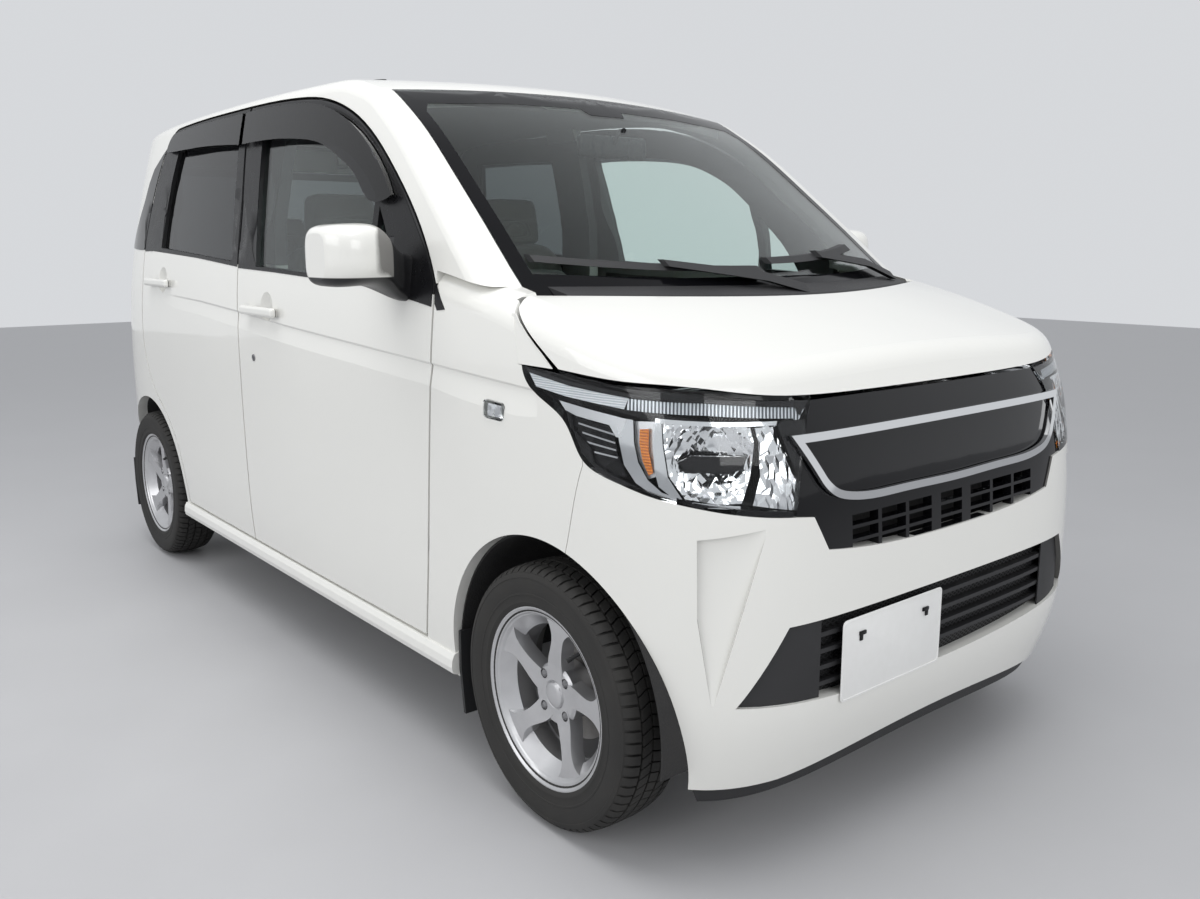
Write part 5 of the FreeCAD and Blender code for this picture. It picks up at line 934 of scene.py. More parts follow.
class KEI_OT_window_trim(bpy.types.Operator):
    """Lay on the black window surrounds, the glass borders, the roof strips and the fuel flap's seam, a thin
    dark ring of painted shade
    """
    bl_idname = "kei.window_trim"
    bl_label = "Window surrounds"

    def execute(self, context):
        for name, side in SIDES:
            way = Vector((0, -side, 0))
            for row, rim, panes in (("front", FRONT_FRAME, FRONT_PANES), ("rear", REAR_FRAME, REAR_PANES)):
                node = "door_%s_%s" % (row, name)
                outlines = [side_view(points, side) for points in (rim, *panes)]
                sheet_piece("window_surround_%s_%s" % (row, name), body_of(node), "satin_black", outlines,
                            way, Skin(node), step=0.04)
            node = "side_frame_" + name
            sheet_piece("quarter_panel_" + name, body_of(node), "gloss_black",
                        [side_view(QUARTER_PANEL, side)], way, Skin(node), proud=1.6 * MM, thick=2.4 * MM)
            sheet_piece("pillar_foot_" + name, "car_body", "satin_black", [side_view(PILLAR_FOOT, side)],
                        way, Skin(node, "fender_" + name))
            middle = Vector((along(STRIP_MIDDLE), side * ROOF_SEAM * HALF_WIDTH, FAR))
            strip = rectangle(middle, AHEAD * STRIP_HALF * (FRONT_AXLE - REAR_AXLE),
                              mm(0, STRIP_WIDTH / 2, 0))
            sheet_piece("roof_strip_" + name, "car_body", "seal_rubber_and_painted_gap_shade", [strip], -UP,
                        Skin(node, "roof_panel"), proud=2.0 * MM, thick=4.0 * MM)
        sheet_piece("screen_border", "car_body", "ceramic_black",
                    [end_view(SCREEN_RIM, 1), end_view(SCREEN_VIEW, 1)], -AHEAD, Skin("windscreen"),
                    proud=1.2 * MM, thick=1.6 * MM, step=0.025)
        sheet_piece("back_window_border", body_of("tailgate_window"), "ceramic_black",
                    [end_view(BACK_RIM, -1), end_view(BACK_VIEW, -1)], AHEAD, Skin("tailgate_window"),
                    proud=1.0 * MM, thick=1.4 * MM, step=0.025)
        flap = rounded(side_view(FUEL_FLAP, 1), FLAP_CORNER)
        middle = sum(flap, Vector()) / len(flap)
        inside = [middle + (place - middle) * FLAP_INSIDE for place in flap]
        # The flap's seam is a thin dark ring laid on the skin: painted shade of the gap round the fuel flap
        sheet_piece("fuel_flap_seam_painted_shade", "car_body", "seal_rubber_and_painted_gap_shade", [flap, inside], Vector((0, -1, 0)),
                    Skin("side_frame_left"), proud=0.3 * MM, thick=0.8 * MM)
        return {"FINISHED"}


# The wing's corner between the headlamp's tip and the bonnet: places in millimetres along, out and up

WING_CORNER = [(1158.0, 726.4, 963.5), (1272.0, 724.5, 963.0), (1243.0, 724.6, 985.0),
               (1212.5, 723.6, 1005.0), (1183.5, 721.6, 1025.0), (1156.0, 717.8, 1045.0),
               (1137.5, 712.8, 1060.0), (1126.0, 712.6, 1060.0), (1133.0, 718.6, 1045.0),
               (1141.0, 721.2, 1030.0), (1149.0, 723.6, 1005.0)]
CORNER_DEPTH = 3.0

# Smooth cheeks of the lower grille: shares of the half width and of the height, and places along X by the
# distance from the middle, in millimetres

CHEEK = [(0.548, 0.3070), (0.676, 0.3070), (0.700, 0.2900), (0.8050, 0.2250), (0.8000, 0.2175),
         (0.548, 0.2125)]
CHEEK_DEPTHS = ((380.0, 1681.5), (420.0, 1677.5), (460.0, 1671.5), (500.0, 1663.0), (540.0, 1650.5),
                (580.0, 1630.0), (620.0, 1600.0))


class Bow:
    """A curve across the car to lay thin pieces on: places along X by the distance from the middle."""

    def __init__(self, points):
        self.points = points

    def depth(self, distance):
        """The curve's place along X at a distance from the car's middle."""
        for (near, start), (far, end) in zip(self.points[:-1], self.points[1:]):
            if distance <= far * MM:
                return MM * (start + (end - start) * (distance / MM - near) / (far - near))
        return self.points[-1][1] * MM

    def under(self, places, way):
        """Where the curve stands behind places that lie before the car. The way is not used: it is always
        along X.
        """
        return [Vector((self.depth(abs(place.y)), place.y, place.z)) for place in places]


class KEI_OT_front_fillers(bpy.types.Operator):
    """Close the wings' front corners beside the bonnet and the lower grille's outer ends"""
    bl_idname = "kei.front_fillers"
    bl_label = "Front fillers"

    def execute(self, context):
        for name, side in SIDES:
            bm = bmesh.new()
            outline = [mm(x, side * y, z) for x, y, z in WING_CORNER]
            add_plate(bm, outline, mm(0, -side * CORNER_DEPTH, 0))
            piece("wing_corner_" + name, bm, "car_body", "paint", smooth=20.0)
            cheek = end_view([(side * share, height) for share, height in CHEEK], 1)
            sheet_piece("lower_grille_cheek_" + name, "car_body", "grained_black", [cheek], -AHEAD,
                        Bow(CHEEK_DEPTHS), smooth=30.0, proud=0.0, thick=3.0 * MM)
        return {"FINISHED"}


# Inside of a headlamp: places across its corner and heights in millimetres, with how deep each part lies

LAMP_HOUSING = [(332, 930), (352, 955), (424, 944), (540, 934), (678, 926), (862, 914), (880, 872),
                (852, 757), (842, 716), (697, 736), (625, 743), (560, 757), (499, 777), (446, 803),
                (432, 832), (418, 880), (394, 894)]
LAMP_PARTS = [
    ("lamp_housing", "gloss_black", 52.0, LAMP_HOUSING),
    ("lamp_top_band", "gloss_black", 4.0, [
        (326, 958), (424, 943), (540, 933), (678, 926), (866, 914), (868, 902), (678, 921), (541, 926),
        (425, 936), (334, 951)]),
    ("lamp_strip_outer", "lamp_white", 7.0, [
        (336, 949), (425, 934), (541, 924), (533, 904), (415, 914), (352, 924)]),
    ("lamp_strip_inner", "lamp_ribs", 8.0, [
        (541, 923), (678, 919), (858, 901), (866, 882), (678, 899), (537, 903)]),
    ("lamp_hook", "lamp_silver", 9.0, [
        (403, 904), (471, 895), (520, 889), (538, 886), (528, 852), (518, 852), (505, 872), (439, 880),
        (416, 888)]),
    ("lamp_outer_panel", "satin_black", 12.0, [
        (418, 885), (440, 877), (503, 869), (516, 851), (522, 820), (540, 782), (499, 778), (448, 804),
        (432, 832)]),
    ("lamp_bezel", "chrome", 9.0, [
        (518, 888), (550, 886), (552, 846), (560, 812), (578, 782), (604, 762), (660, 748), (742, 741),
        (742, 735), (650, 741), (590, 755), (556, 774), (534, 804), (524, 846)]),
    ("lamp_turn_housing", "lamp_silver", 22.0, [
        (552, 882), (590, 884), (588, 845), (598, 789), (580, 781), (562, 812), (554, 846)]),
    ("lamp_upright", "chrome", 9.0, [
        (590, 885), (601, 884), (604, 845), (614, 790), (640, 753), (624, 754), (598, 772), (590, 800),
        (587, 845)]),
    ("lamp_brow", "chrome", 9.0, [
        (590, 892), (806, 883), (804, 876), (590, 884)]),
    ("lamp_inner_wall", "chrome_facets", 16.0, [
        (764, 877), (804, 876), (850, 757), (840, 722), (764, 739), (776, 790), (772, 846)]),
    ("lamp_lower_rim", "gloss_black", 5.0, [
        (420, 884), (432, 830), (446, 799), (499, 773), (560, 753), (625, 740), (697, 733), (846, 712),
        (850, 722), (700, 742), (628, 750), (562, 766), (504, 786), (454, 810), (440, 836), (427, 884)]),
    ("lamp_inner_rim", "gloss_black", 5.0, [
        (850, 722), (846, 712), (858, 756), (884, 868), (874, 882), (812, 882), (806, 876), (856, 757)]),
]
LAMP_BOWL = [(603, 882), (756, 878), (764, 846), (758, 790), (744, 744), (700, 744), (645, 752), (616, 788),
             (606, 845)]
LAMP_BLADE = [(630, 815), (655, 828), (752, 825), (746, 804), (722, 796), (648, 800)]
LAMP_AMBER = [(562, 870), (579, 872), (579, 835), (588, 795), (580, 789), (568, 815), (562, 846)]
LAMP_SLATS = [((444, 867), (516, 856)), ((452, 851), (517, 841)), ((459, 835), (519, 828)),
              ((467, 819), (522, 815))]
SLAT_HEIGHT = 3.2
LAMP_SHEET = 1.5 * MM
# The bowl's middle in millimetres; its half width and height, its depth and its rise to the rim in metres
BOWL_MIDDLE = (682, 814)
BOWL_HALF = (0.085, 0.070)
BOWL_DEPTH = 0.046
BOWL_RISE = 0.030


def lamp_places(points, side):
    """Places before a headlamp from places across the car's corner and heights."""
    across = Vector((1, -side, 0)).normalized()
    return [across * u * MM + UP * z * MM for u, z in points]


class KEI_OT_headlamps(bpy.types.Operator):
    """Fill the headlamps with their housings, reflectors, strips and amber lamps"""
    bl_idname = "kei.headlamps"
    bl_label = "Headlamps"

    def execute(self, context):
        skin = Skin("headlamps")
        for name, side in SIDES:
            way = Vector((-1, -side, 0)).normalized()
            across = Vector((1, -side, 0)).normalized()
            middle = lamp_places([BOWL_MIDDLE], side)[0]

            def bowl(place):
                off = place - middle
                reach = (off.dot(across) / BOWL_HALF[0]) ** 2 + (off.z / BOWL_HALF[1]) ** 2
                return -(BOWL_DEPTH - BOWL_RISE * min(1.0, reach))

            def fill(part, look, points, proud, thick, smooth=35.0, **sizes):
                sheet_piece("%s_%s" % (part, name), "car_body", look, [lamp_places(points, side)], way, skin,
                            smooth, proud=proud, thick=thick, **sizes)

            for part, look, depth, points in LAMP_PARTS:
                fill(part, look, points, -depth * MM, LAMP_SHEET)
            fill("lamp_bowl", "chrome_facets", LAMP_BOWL, bowl, LAMP_SHEET, smooth=20.0, step=0.008)
            fill("lamp_blade", "gloss_black", LAMP_BLADE, -20 * MM, 7 * MM)
            fill("lamp_turn_bulb", "amber", LAMP_AMBER, -13 * MM, 6 * MM)
            bm = bmesh.new()
            half = SLAT_HEIGHT / 2
            for (start, near), (end, far) in LAMP_SLATS:
                slat = [(start, near + half), (end, far + half), (end, far - half), (start, near - half)]
                add_sheet(bm, [lamp_places(slat, side)], way, skin, proud=-9 * MM, thick=3.0 * MM)
            piece("lamp_slats_" + name, bm, "car_body", "chrome")
        return {"FINISHED"}


# Number plates, lamps of the tail, mirrors and small fittings

FRONT_PLATE = (1691.0, -190.0, 410.0)
REAR_PLATE = (-1675.6, 0.0, 804.5)
# The pressed rim as shares of the plate's width, height and corner, and its radius in metres
RIM_SHARES = (0.975, 0.95, 0.8)
RIM_RADIUS = 0.0011
# Clips: how far they stand above the plate's middle and beside it, and their heads and tongues
CLIP_RISE = 47.5
CLIP_SPREAD = 105.0
CLIP_PROUD = 0.0028
CLIP_HEAD = (0.004, 0.020, 0.008)
CLIP_TONGUE = (0.003, 0.009, 0.014)
TONGUE_DROP = 0.008
TONGUE_OUT = 0.004
CLIP_EDGE = 0.001
# Bars of the front plate's holder: how far they lie behind the plate, heights over its middle and sizes
HOLDER_BEHIND = 3.2
HOLDER_BARS = ((CLIP_RISE, (0.0045, 0.270, 0.024)), (0.0, (0.0045, 0.240, 0.016)))


def add_number_plate(bm, centre, way, sizes):
    """A bare plate with rounded corners and a pressed rim."""
    across = Vector((0, sizes.width / 2, 0))
    upward = UP * sizes.height / 2
    wide, high, corner = RIM_SHARES
    sheet = rounded(rectangle(centre, across, upward), sizes.corner)
    add_plate(bm, sheet, way * sizes.thickness, edge=0.0004)
    rim = rounded(rectangle(centre, across * wide, upward * high), sizes.corner * corner)
    raised = [place + way * sizes.thickness for place in rim]
    add_tube(bm, raised + raised[:1], RIM_RADIUS, sides=6)


class KEI_OT_number_plates(bpy.types.Operator):
    """Fix the bare number plates with their clips and the front plate's holder"""
    bl_idname = "kei.number_plates"
    bl_label = "Number plates"

    def execute(self, context):
        sizes = context.scene.kei_plates
        for end, place, way, body in (("front", FRONT_PLATE, AHEAD, "car_body"),
                                      ("rear", REAR_PLATE, -AHEAD, "tailgate")):
            centre = mm(*place)
            bm = bmesh.new()
            add_number_plate(bm, centre, way, sizes)
            piece("number_plate_" + end, bm, body, "plate_white", smooth=30.0)
            bm = bmesh.new()
            for side in (-1, 1):
                clip = centre + mm(0, side * CLIP_SPREAD, CLIP_RISE) + way * CLIP_PROUD
                add_block(bm, clip, CLIP_HEAD, CLIP_EDGE)
                add_block(bm, clip - UP * TONGUE_DROP + Vector((0, side * TONGUE_OUT, 0)), CLIP_TONGUE,
                          CLIP_EDGE)
            piece("plate_clips_" + end, bm, body, "satin_black")
        x, y, z = FRONT_PLATE
        bars = [((x - HOLDER_BEHIND, y, z + rise), size, CLIP_EDGE) for rise, size in HOLDER_BARS]
        block_piece("plate_holder", "car_body", "grained_black", bars)
        return {"FINISHED"}


STOP_LAMP = [(-0.20, 0.9300), (-0.20, 0.9420), (0.20, 0.9420), (0.20, 0.9300)]
GARNISH = [(-0.34, 0.5520), (-0.34, 0.5700), (0.34, 0.5700), (0.34, 0.5520)]
REFLECTOR = [(0.70, 0.2080), (0.70, 0.2280), (0.90, 0.2280), (0.90, 0.2080)]
TAIL_PARTS = [
    ("tail_lamp_back", "chrome_facets", 26.0, [
        (0.862, 0.548), (0.862, 0.714), (0.930, 0.712), (0.960, 0.640), (0.945, 0.548)]),
    ("tail_lamp_turn", "amber", 6.0, [
        (0.868, 0.592), (0.868, 0.618), (0.940, 0.618), (0.940, 0.592)]),
    ("tail_lamp_reverse", "lamp_white", 6.0, [
        (0.868, 0.556), (0.868, 0.582), (0.935, 0.582), (0.935, 0.556)]),
    ("tail_lamp_guide", "lamp_ribs", 8.0, [
        (0.872, 0.640), (0.872, 0.704), (0.884, 0.704), (0.884, 0.640)]),
]
PLATE_LAMP = ((-1684.0, 70.0, 896.0), (0.016, 0.040, 0.006), 0.0015)


class KEI_OT_tail_trim(bpy.types.Operator):
    """Add the tail lamps' insides, the reflectors, the handle bar, the high stop lamp and the plate lamps"""
    bl_idname = "kei.tail_trim"
    bl_label = "Tail trim"

    def execute(self, context):
        lamps = Skin("tail_lamps")
        bumper = Skin("rear_bumper")
        for name, side in SIDES:
            for part, look, depth, points in TAIL_PARTS:
                outline = end_view([(side * share, height) for share, height in points], -1)
                sheet_piece("%s_%s" % (part, name), "car_body", look, [outline], AHEAD, lamps,
                            proud=-depth * MM, thick=2.0 * MM)
            outline = rounded(end_view([(side * share, height) for share, height in REFLECTOR], -1), 0.008)
            sheet_piece("tail_reflector_" + name, "car_body", "reflector_red", [outline], AHEAD, bumper,
                        proud=1.5 * MM, thick=4.0 * MM)
        gate = Skin("tailgate")
        sheet_piece("tailgate_handle_bar", "tailgate", "gloss_black",
                    [rounded(end_view(GARNISH, -1), 0.008)], AHEAD, gate, proud=9.0 * MM, thick=12.0 * MM)
        sheet_piece("high_stop_lamp", "tailgate", "reflector_red", [rounded(end_view(STOP_LAMP, -1), 0.006)],
                    AHEAD, gate, proud=2.0 * MM, thick=5.0 * MM)
        (x, y, z), size, edge = PLATE_LAMP
        block_piece("plate_lamps", "tailgate", "lamp_white",
                    [((x, side * y, z), size, edge) for side in (-1, 1)])
        return {"FINISHED"}


MIRROR_FACE = (634.6, 849.0, 1169.0)
MIRROR_HALF = (64.0, 50.0)
MIRROR_CORNER = 0.022
MIRROR_GLASS = -1.4
MARKER = [(0.934, 0.5120), (0.934, 0.5280), (0.955, 0.5270), (0.955, 0.5120)]
# The key's cylinder: a place beside the door in millimetres, and its ring and its slot in metres
KEY_PLACE = (-185.0, -600.0, 862.0)
KEY_RING = [(0.0, 0.0022), (0.0062, 0.0022), (0.0066, 0.0030), (0.0096, 0.0028), (0.0104, 0.0014),
            (0.0104, -0.004)]
SLOT_OUT = 0.0024
KEY_SLOT = (0.0014, 0.0008, 0.0075)


class KEI_OT_side_fittings(bpy.types.Operator):
    """Add the mirror glasses, the side lamps' insides and the key cylinder"""
    bl_idname = "kei.side_fittings"
    bl_label = "Side fittings"

    def execute(self, context):
        for name, side in SIDES:
            bm = bmesh.new()
            x, y, z = MIRROR_FACE
            face = rectangle(mm(x, side * y, z), mm(0, MIRROR_HALF[0], 0), mm(0, 0, MIRROR_HALF[1]))
            add_plate(bm, rounded(face, MIRROR_CORNER), mm(MIRROR_GLASS, 0, 0), edge=0.0005)
            piece("mirror_glass_" + name, bm, "front_door_" + name, "mirror_silver")
            sheet_piece("side_lamp_back_" + name, "car_body", "chrome_facets", [side_view(MARKER, side)],
                        Vector((0, -side, 0)), Skin("side_markers"), proud=-7 * MM, thick=2 * MM)
        outwards = Vector((0, -1, 0))
        place = Skin("door_front_right").under([mm(*KEY_PLACE)], -outwards)[0]
        bm = bmesh.new()
        add_lathe(bm, KEY_RING, place, outwards)
        add_block(bm, place + outwards * SLOT_OUT, KEY_SLOT)
        piece("key_cylinder", bm, "front_door_right", "dark_steel")
        return {"FINISHED"}


# Cabin: seats, dashboard, door linings

# A cushion: how square its outline and its section are, the least that its corners shrink to, where its
# raised edges and its crown begin, the width of its seams as a share of its half length, and their depth
OUTLINE_POWER = 7
SECTION_POWER = 3.4
LEAST_CORNER = 0.8
BOLSTER_START = 0.55
CROWN_START = 0.4
SEAM_WIDTH = 0.035
SEAM_DEPTH = 0.008
CLOTH_SMOOTH = 80.0
# Radius of the gear lever's rod and of the inner mirror's
ROD_RADIUS = 0.007


def facing(lengthways, front):
    """The turn that takes a form's length to one direction and its top to another."""
    x, z = lengthways.normalized(), front.normalized()
    y = z.cross(x).normalized()
    return Matrix((x, y, x.cross(y))).transposed().to_quaternion()


def add_cushion(bm, centre, turn, size, crown=0.010, bolster=0.0, seams=(), taper=0.0, cuts=19):
    """A padded block: rounded, crowned, with raised edges and with seams pulled in across or along it."""
    part = bmesh.new()
    bmesh.ops.create_cube(part, size=2.0)
    bmesh.ops.subdivide_edges(part, edges=part.edges[:], cuts=cuts, use_grid_fill=True)
    for vert in part.verts:
        u = vert.co.copy()
        largest = max(abs(u.x), abs(u.y), abs(u.z))
        norm = abs(u.x) ** OUTLINE_POWER + abs(u.y) ** OUTLINE_POWER + abs(u.z) ** SECTION_POWER
        u = u * (largest / max(norm ** (1 / OUTLINE_POWER), largest * LEAST_CORNER))
        rise = crown * (1 - u.x ** 2) * (1 - u.y ** 2)
        rise += bolster * max(0.0, abs(u.y) - BOLSTER_START) ** 1.5 * (1 - u.x ** 4)
        for axis, where in seams:
            off = ((u.x if axis == "x" else abs(u.y)) - where) / SEAM_WIDTH
            rise -= SEAM_DEPTH * math.exp(-off * off) * (1 - (u.y if axis == "x" else u.x) ** 8)
        narrow = 1 - taper * (u.x + 1) / 2
        top = rise if vert.co.z > CROWN_START else 0.0
        vert.co = Vector((u.x * size[0] / 2, u.y * narrow * size[1] / 2, u.z * size[2] / 2 + top))
    bmesh.ops.transform(part, matrix=Matrix.LocRotScale(centre, turn, None), verts=part.verts[:])
    add_mesh_of(bm, part)


SEAT_SEAMS = (("y", 0.60), ("x", 0.25))
# Front and rear seats: cushion, back and head rest as centre X and Z, direction of the length, sizes, rise
# of the side edges, and the share by which the far end is narrower
FRONT_SEAT = (("cushion", (-50.0, 545.0), (1.0, 0.085), (510.0, 460.0, 165.0), 0.16, 0.00),
              ("back", (-352.0, 885.0), (-0.19, 1.0), (620.0, 460.0, 120.0), 0.14, 0.18),
              ("head_rest", (-407.0, 1270.0), (-0.10, 1.0), (165.0, 245.0, 88.0), 0.00, 0.10))
REAR_SEAT = (("cushion", (-735.0, 552.0), (1.0, 0.06), (430.0, 505.0, 150.0), 0.06, 0.00),
             ("back", (-985.0, 872.0), (-0.32, 1.0), (560.0, 505.0, 110.0), 0.06, 0.04),
             ("head_rest", (-1100.0, 1218.0), (-0.14, 1.0), (140.0, 230.0, 75.0), 0.00, 0.10))
# Frame of a front seat for each side, and its pan: places from the seat's middle, sizes and edges
SEAT_RAILS = (((-60.0, 190.0, 262.0), (0.46, 0.034, 0.034), 0.004),
              ((-60.0, 205.0, 390.0), (0.42, 0.026, 0.24), 0.012))
SEAT_PAN = ((-60.0, 0.0, 440.0), (0.44, 0.40, 0.10), 0.02)
BENCH_Y = 262.0
BENCH_BASE = ((-745.0, BENCH_Y, 458.0), (0.36, 0.46, 0.055), 0.012)
# Posts of a head rest: distance from the seat's middle, foot and top as X and Z, and radius
FRONT_POSTS = (55.0, ((-398.0, 1150.0), (-404.0, 1230.0)), 0.006)
REAR_POSTS = (50.0, ((-1088.0, 1120.0), (-1097.0, 1190.0)), 0.005)


def make_seat(row, name, y, shapes):
    """One seat of padded pieces; gives the pieces."""
    made = []
    for part, (x, z), (run, rise), size, bolster, taper in shapes:
        length = Vector((run, 0, rise))
        front = UP if part == "cushion" else AHEAD
        front = front - length * front.dot(length) / length.length_squared
        bm = bmesh.new()
        seams = SEAT_SEAMS if part != "head_rest" else (("x", 0.0),)
        add_cushion(bm, mm(x, y, z), facing(length, front), [value * MM for value in size], bolster=bolster,
                    seams=seams, taper=taper)
        pad = piece("%s_seat_%s_%s" % (row, part, name), bm, "car_body", "seat_cloth", smooth=CLOTH_SMOOTH)
        made.append(pad)
    return made


def make_posts(name, y, posts):
    """The two posts of a head rest."""
    out, ends, radius = posts
    bm = bmesh.new()
    for side in (-1, 1):
        add_tube(bm, [mm(x, y + side * out, z) for x, z in ends], radius, sides=12)
    piece(name, bm, "car_body", "chrome")


class KEI_OT_front_seats(bpy.types.Operator):
    """Make the padded front seats with their frames and head rest posts"""
    bl_idname = "kei.front_seats"
    bl_label = "Front seats"

    def execute(self, context):
        made = []
        for name, side in SIDES:
            seat = side * context.scene.kei_cabin.seat_place / MM
            made += make_seat("front", name, seat, FRONT_SEAT)
            blocks = [((x, seat + rail * y, z), size, edge) for rail in (-1, 1)
                      for (x, y, z), size, edge in SEAT_RAILS]
            (x, y, z), size, edge = SEAT_PAN
            block_piece("seat_frame_" + name, "car_body", "soft_plastic",
                        blocks + [((x, seat + y, z), size, edge)])
            make_posts("head_rest_posts_" + name, seat, FRONT_POSTS)
        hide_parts("front_seats")
        return {"FINISHED"}


class KEI_OT_rear_seat(bpy.types.Operator):
    """Make the padded rear bench in two halves"""
    bl_idname = "kei.rear_seat"
    bl_label = "Rear seat"

    def execute(self, context):
        made = []
        for name, side in SIDES:
            made += make_seat("rear", name, side * BENCH_Y, REAR_SEAT)
            (x, y, z), size, edge = BENCH_BASE
            block_piece("bench_base_" + name, "car_body", "soft_plastic", [((x, side * y, z), size, edge)])
            make_posts("rear_head_rest_posts_" + name, side * BENCH_Y, REAR_POSTS)
        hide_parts("rear_seat")
        return {"FINISHED"}


STEERING = (338.0, -331.9, 956.6)
COLUMN_WAY = Vector((-0.8988, 0, 0.4384))
# Blocks on the dashboard: centre, size, edge and finish
DASH_BLOCKS = (
    ("instrument_hood", (515.0, -332.0, 1082.0), (0.190, 0.350, 0.085), 0.030, "soft_plastic"),
    ("instrument_face", (428.0, -332.0, 1072.0), (0.020, 0.290, 0.058), 0.008, "gloss_black"),
    ("centre_screen", (448.0, 0.0, 962.0), (0.022, 0.215, 0.125), 0.006, "gloss_black"),
    ("climate_panel", (462.0, 0.0, 845.0), (0.030, 0.235, 0.080), 0.010, "satin_black"),
    ("lower_console", (525.0, 0.0, 735.0), (0.150, 0.220, 0.130), 0.020, "soft_plastic"),
    ("glove_box", (452.0, 330.0, 862.0), (0.016, 0.350, 0.120), 0.008, "soft_plastic"),
    ("door_vent_left", (462.0, 495.0, 985.0), (0.020, 0.075, 0.060), 0.012, "satin_black"),
    ("door_vent_right", (462.0, -495.0, 985.0), (0.020, 0.075, 0.060), 0.012, "satin_black"),
)
# Slats of the side vents: lowest place, rows, step up and size
VENT_SLAT = (450.0, 495.0, 966.0)
VENT_ROWS = 4
VENT_STEP = 13.0
SLAT_SIZE = (0.006, 0.062, 0.002)
DIAL_PLACE = (448.0, 70.0, 845.0)
DIAL_PROFILE = [(0.0, 0.018), (0.017, 0.018), (0.020, 0.015), (0.020, 0.0)]
# The gear lever: its foot, its top and its knob's place from the foot, and the knob's profile and direction
LEVER_FOOT = (470.0, -75.0, 800.0)
LEVER_TOP = (-55.0, 0, 62.0)
KNOB_PLACE = (-62.0, 0, 70.0)
KNOB_PROFILE = [(0.0, 0.034), (0.012, 0.032), (0.019, 0.020), (0.019, 0.0), (0.012, -0.012), (0.0, -0.014)]
KNOB_WAY = Vector((-0.66, 0, 0.75))
# Stalks of the column, from a point before the steering wheel: places along, out and up
STALK_BEFORE = 0.075
STALK = ((0, 0.03, 0), (0, 0.13, 0.012), (-0.01, 0.20, 0.018))
STALK_RADIUS = 0.008
PAD_RISE = 0.014
PAD_SIZE = (0.115, 0.165, 0.040)


class KEI_OT_dashboard(bpy.types.Operator):
    """Dress the dashboard and the steering wheel"""
    bl_idname = "kei.dashboard"
    bl_label = "Dashboard"

    def execute(self, context):
        for name, centre, size, edge, look in DASH_BLOCKS:
            block_piece(name, "car_body", look, [(centre, size, edge)], steps=3)
        bm = bmesh.new()
        for side in (-1, 1):
            x, y, z = VENT_SLAT
            for row in range(VENT_ROWS):
                add_block(bm, mm(x, side * y, z + VENT_STEP * row), SLAT_SIZE)
            x, y, z = DIAL_PLACE
            add_lathe(bm, DIAL_PROFILE, mm(x, side * y, z), -AHEAD, turns=24)
        piece("vent_slats_and_dials", bm, "car_body", "chrome")
        bm = bmesh.new()
        base = mm(*LEVER_FOOT)
        add_tube(bm, [base, base + mm(*LEVER_TOP)], ROD_RADIUS, sides=12)
        add_lathe(bm, KNOB_PROFILE, base + mm(*KNOB_PLACE), KNOB_WAY, turns=24)
        piece("gear_lever", bm, "car_body", "satin_black")
        bm = bmesh.new()
        centre = mm(*STEERING)
        for side in (-1, 1):
            places = [centre - COLUMN_WAY * STALK_BEFORE + Vector((x, side * y, z)) for x, y, z in STALK]
            add_tube(bm, places, STALK_RADIUS)
        piece("column_stalks", bm, "car_body", "satin_black")
        bm = bmesh.new()
        down = COLUMN_WAY.cross(Vector((0, 1, 0)))
        add_cushion(bm, centre + COLUMN_WAY * PAD_RISE, facing(down, COLUMN_WAY), PAD_SIZE, crown=0.006,
                    cuts=9)
        piece("steering_pad", bm, "steering_wheel", "soft_plastic", smooth=CLOTH_SMOOTH)
        return {"FINISHED"}


FRONT_CARD = [(0.418, 0.655), (0.425, 0.200), (0.780, 0.200), (0.805, 0.300), (0.815, 0.630), (0.720, 0.645)]
REAR_CARD = [(0.362, 0.664), (0.372, 0.205), (0.175, 0.205), (0.150, 0.290), (0.090, 0.395), (0.045, 0.480),
             (0.030, 0.560), (0.034, 0.684)]
# Each door's lining and its middle along X, and blocks on it: places from there, sizes and edges
DOOR_LININGS = (("front", FRONT_CARD, 120.0), ("rear", REAR_CARD, -740.0))
ARM_REST = ((0.0, 640.0, 715.0), (0.300, 0.060, 0.045), 0.016, 3)
HANDLE_BOWL = ((60.0, 648.0, 790.0), (0.110, 0.030, 0.050), 0.010, 2)
INNER_HANDLE = ((62.0, 634.0, 795.0), (0.080, 0.008, 0.020), 0.003, 2)


def add_door_block(bm, door_x, side, block):
    (x, y, z), size, edge, steps = block
    add_block(bm, mm(door_x + x, side * y, z), size, edge, steps)


class KEI_OT_door_linings(bpy.types.Operator):
    """Line the doors with cards, arm rests and inner handles"""
    bl_idname = "kei.door_linings"
    bl_label = "Door linings"

    def execute(self, context):
        for name, side in SIDES:
            for row, card, x in DOOR_LININGS:
                node = "door_%s_%s" % (row, name)
                outline = [Vector((place.x, 0, place.z)) for place in side_view(card, side)]
                sheet_piece("door_card_%s_%s" % (row, name), body_of(node), "door_lining", [outline],
                            Vector((0, side, 0)), Skin(node), proud=5 * MM, thick=6 * MM, step=0.05)
                for part, look, blocks in (("arm_rest", "soft_plastic", (ARM_REST, HANDLE_BOWL)),
                                           ("inner_handle", "chrome", (INNER_HANDLE,))):
                    bm = bmesh.new()
                    for block in blocks:
                        add_door_block(bm, x, side, block)
                    piece("%s_%s_%s" % (part, row, name), bm, body_of(node), look)
        return {"FINISHED"}


INNER_MIRROR = ((588.0, 0, 1452.0), (0.022, 0.240, 0.062), 0.010)
MIRROR_STALK = ((596.0, 0, 1462.0), (618.0, 0, 1492.0), (640.0, 0, 1496.0))
INNER_GLASS = (576.6, 0, 1452.0)
INNER_GLASS_HALF = (113.0, 25.0)
INNER_CORNER = 0.010
SUN_VISOR = (395.0, 300.0, 1568.0)
VISOR_SLOPE = 0.22
VISOR_SIZE = (0.150, 0.360, 0.018)


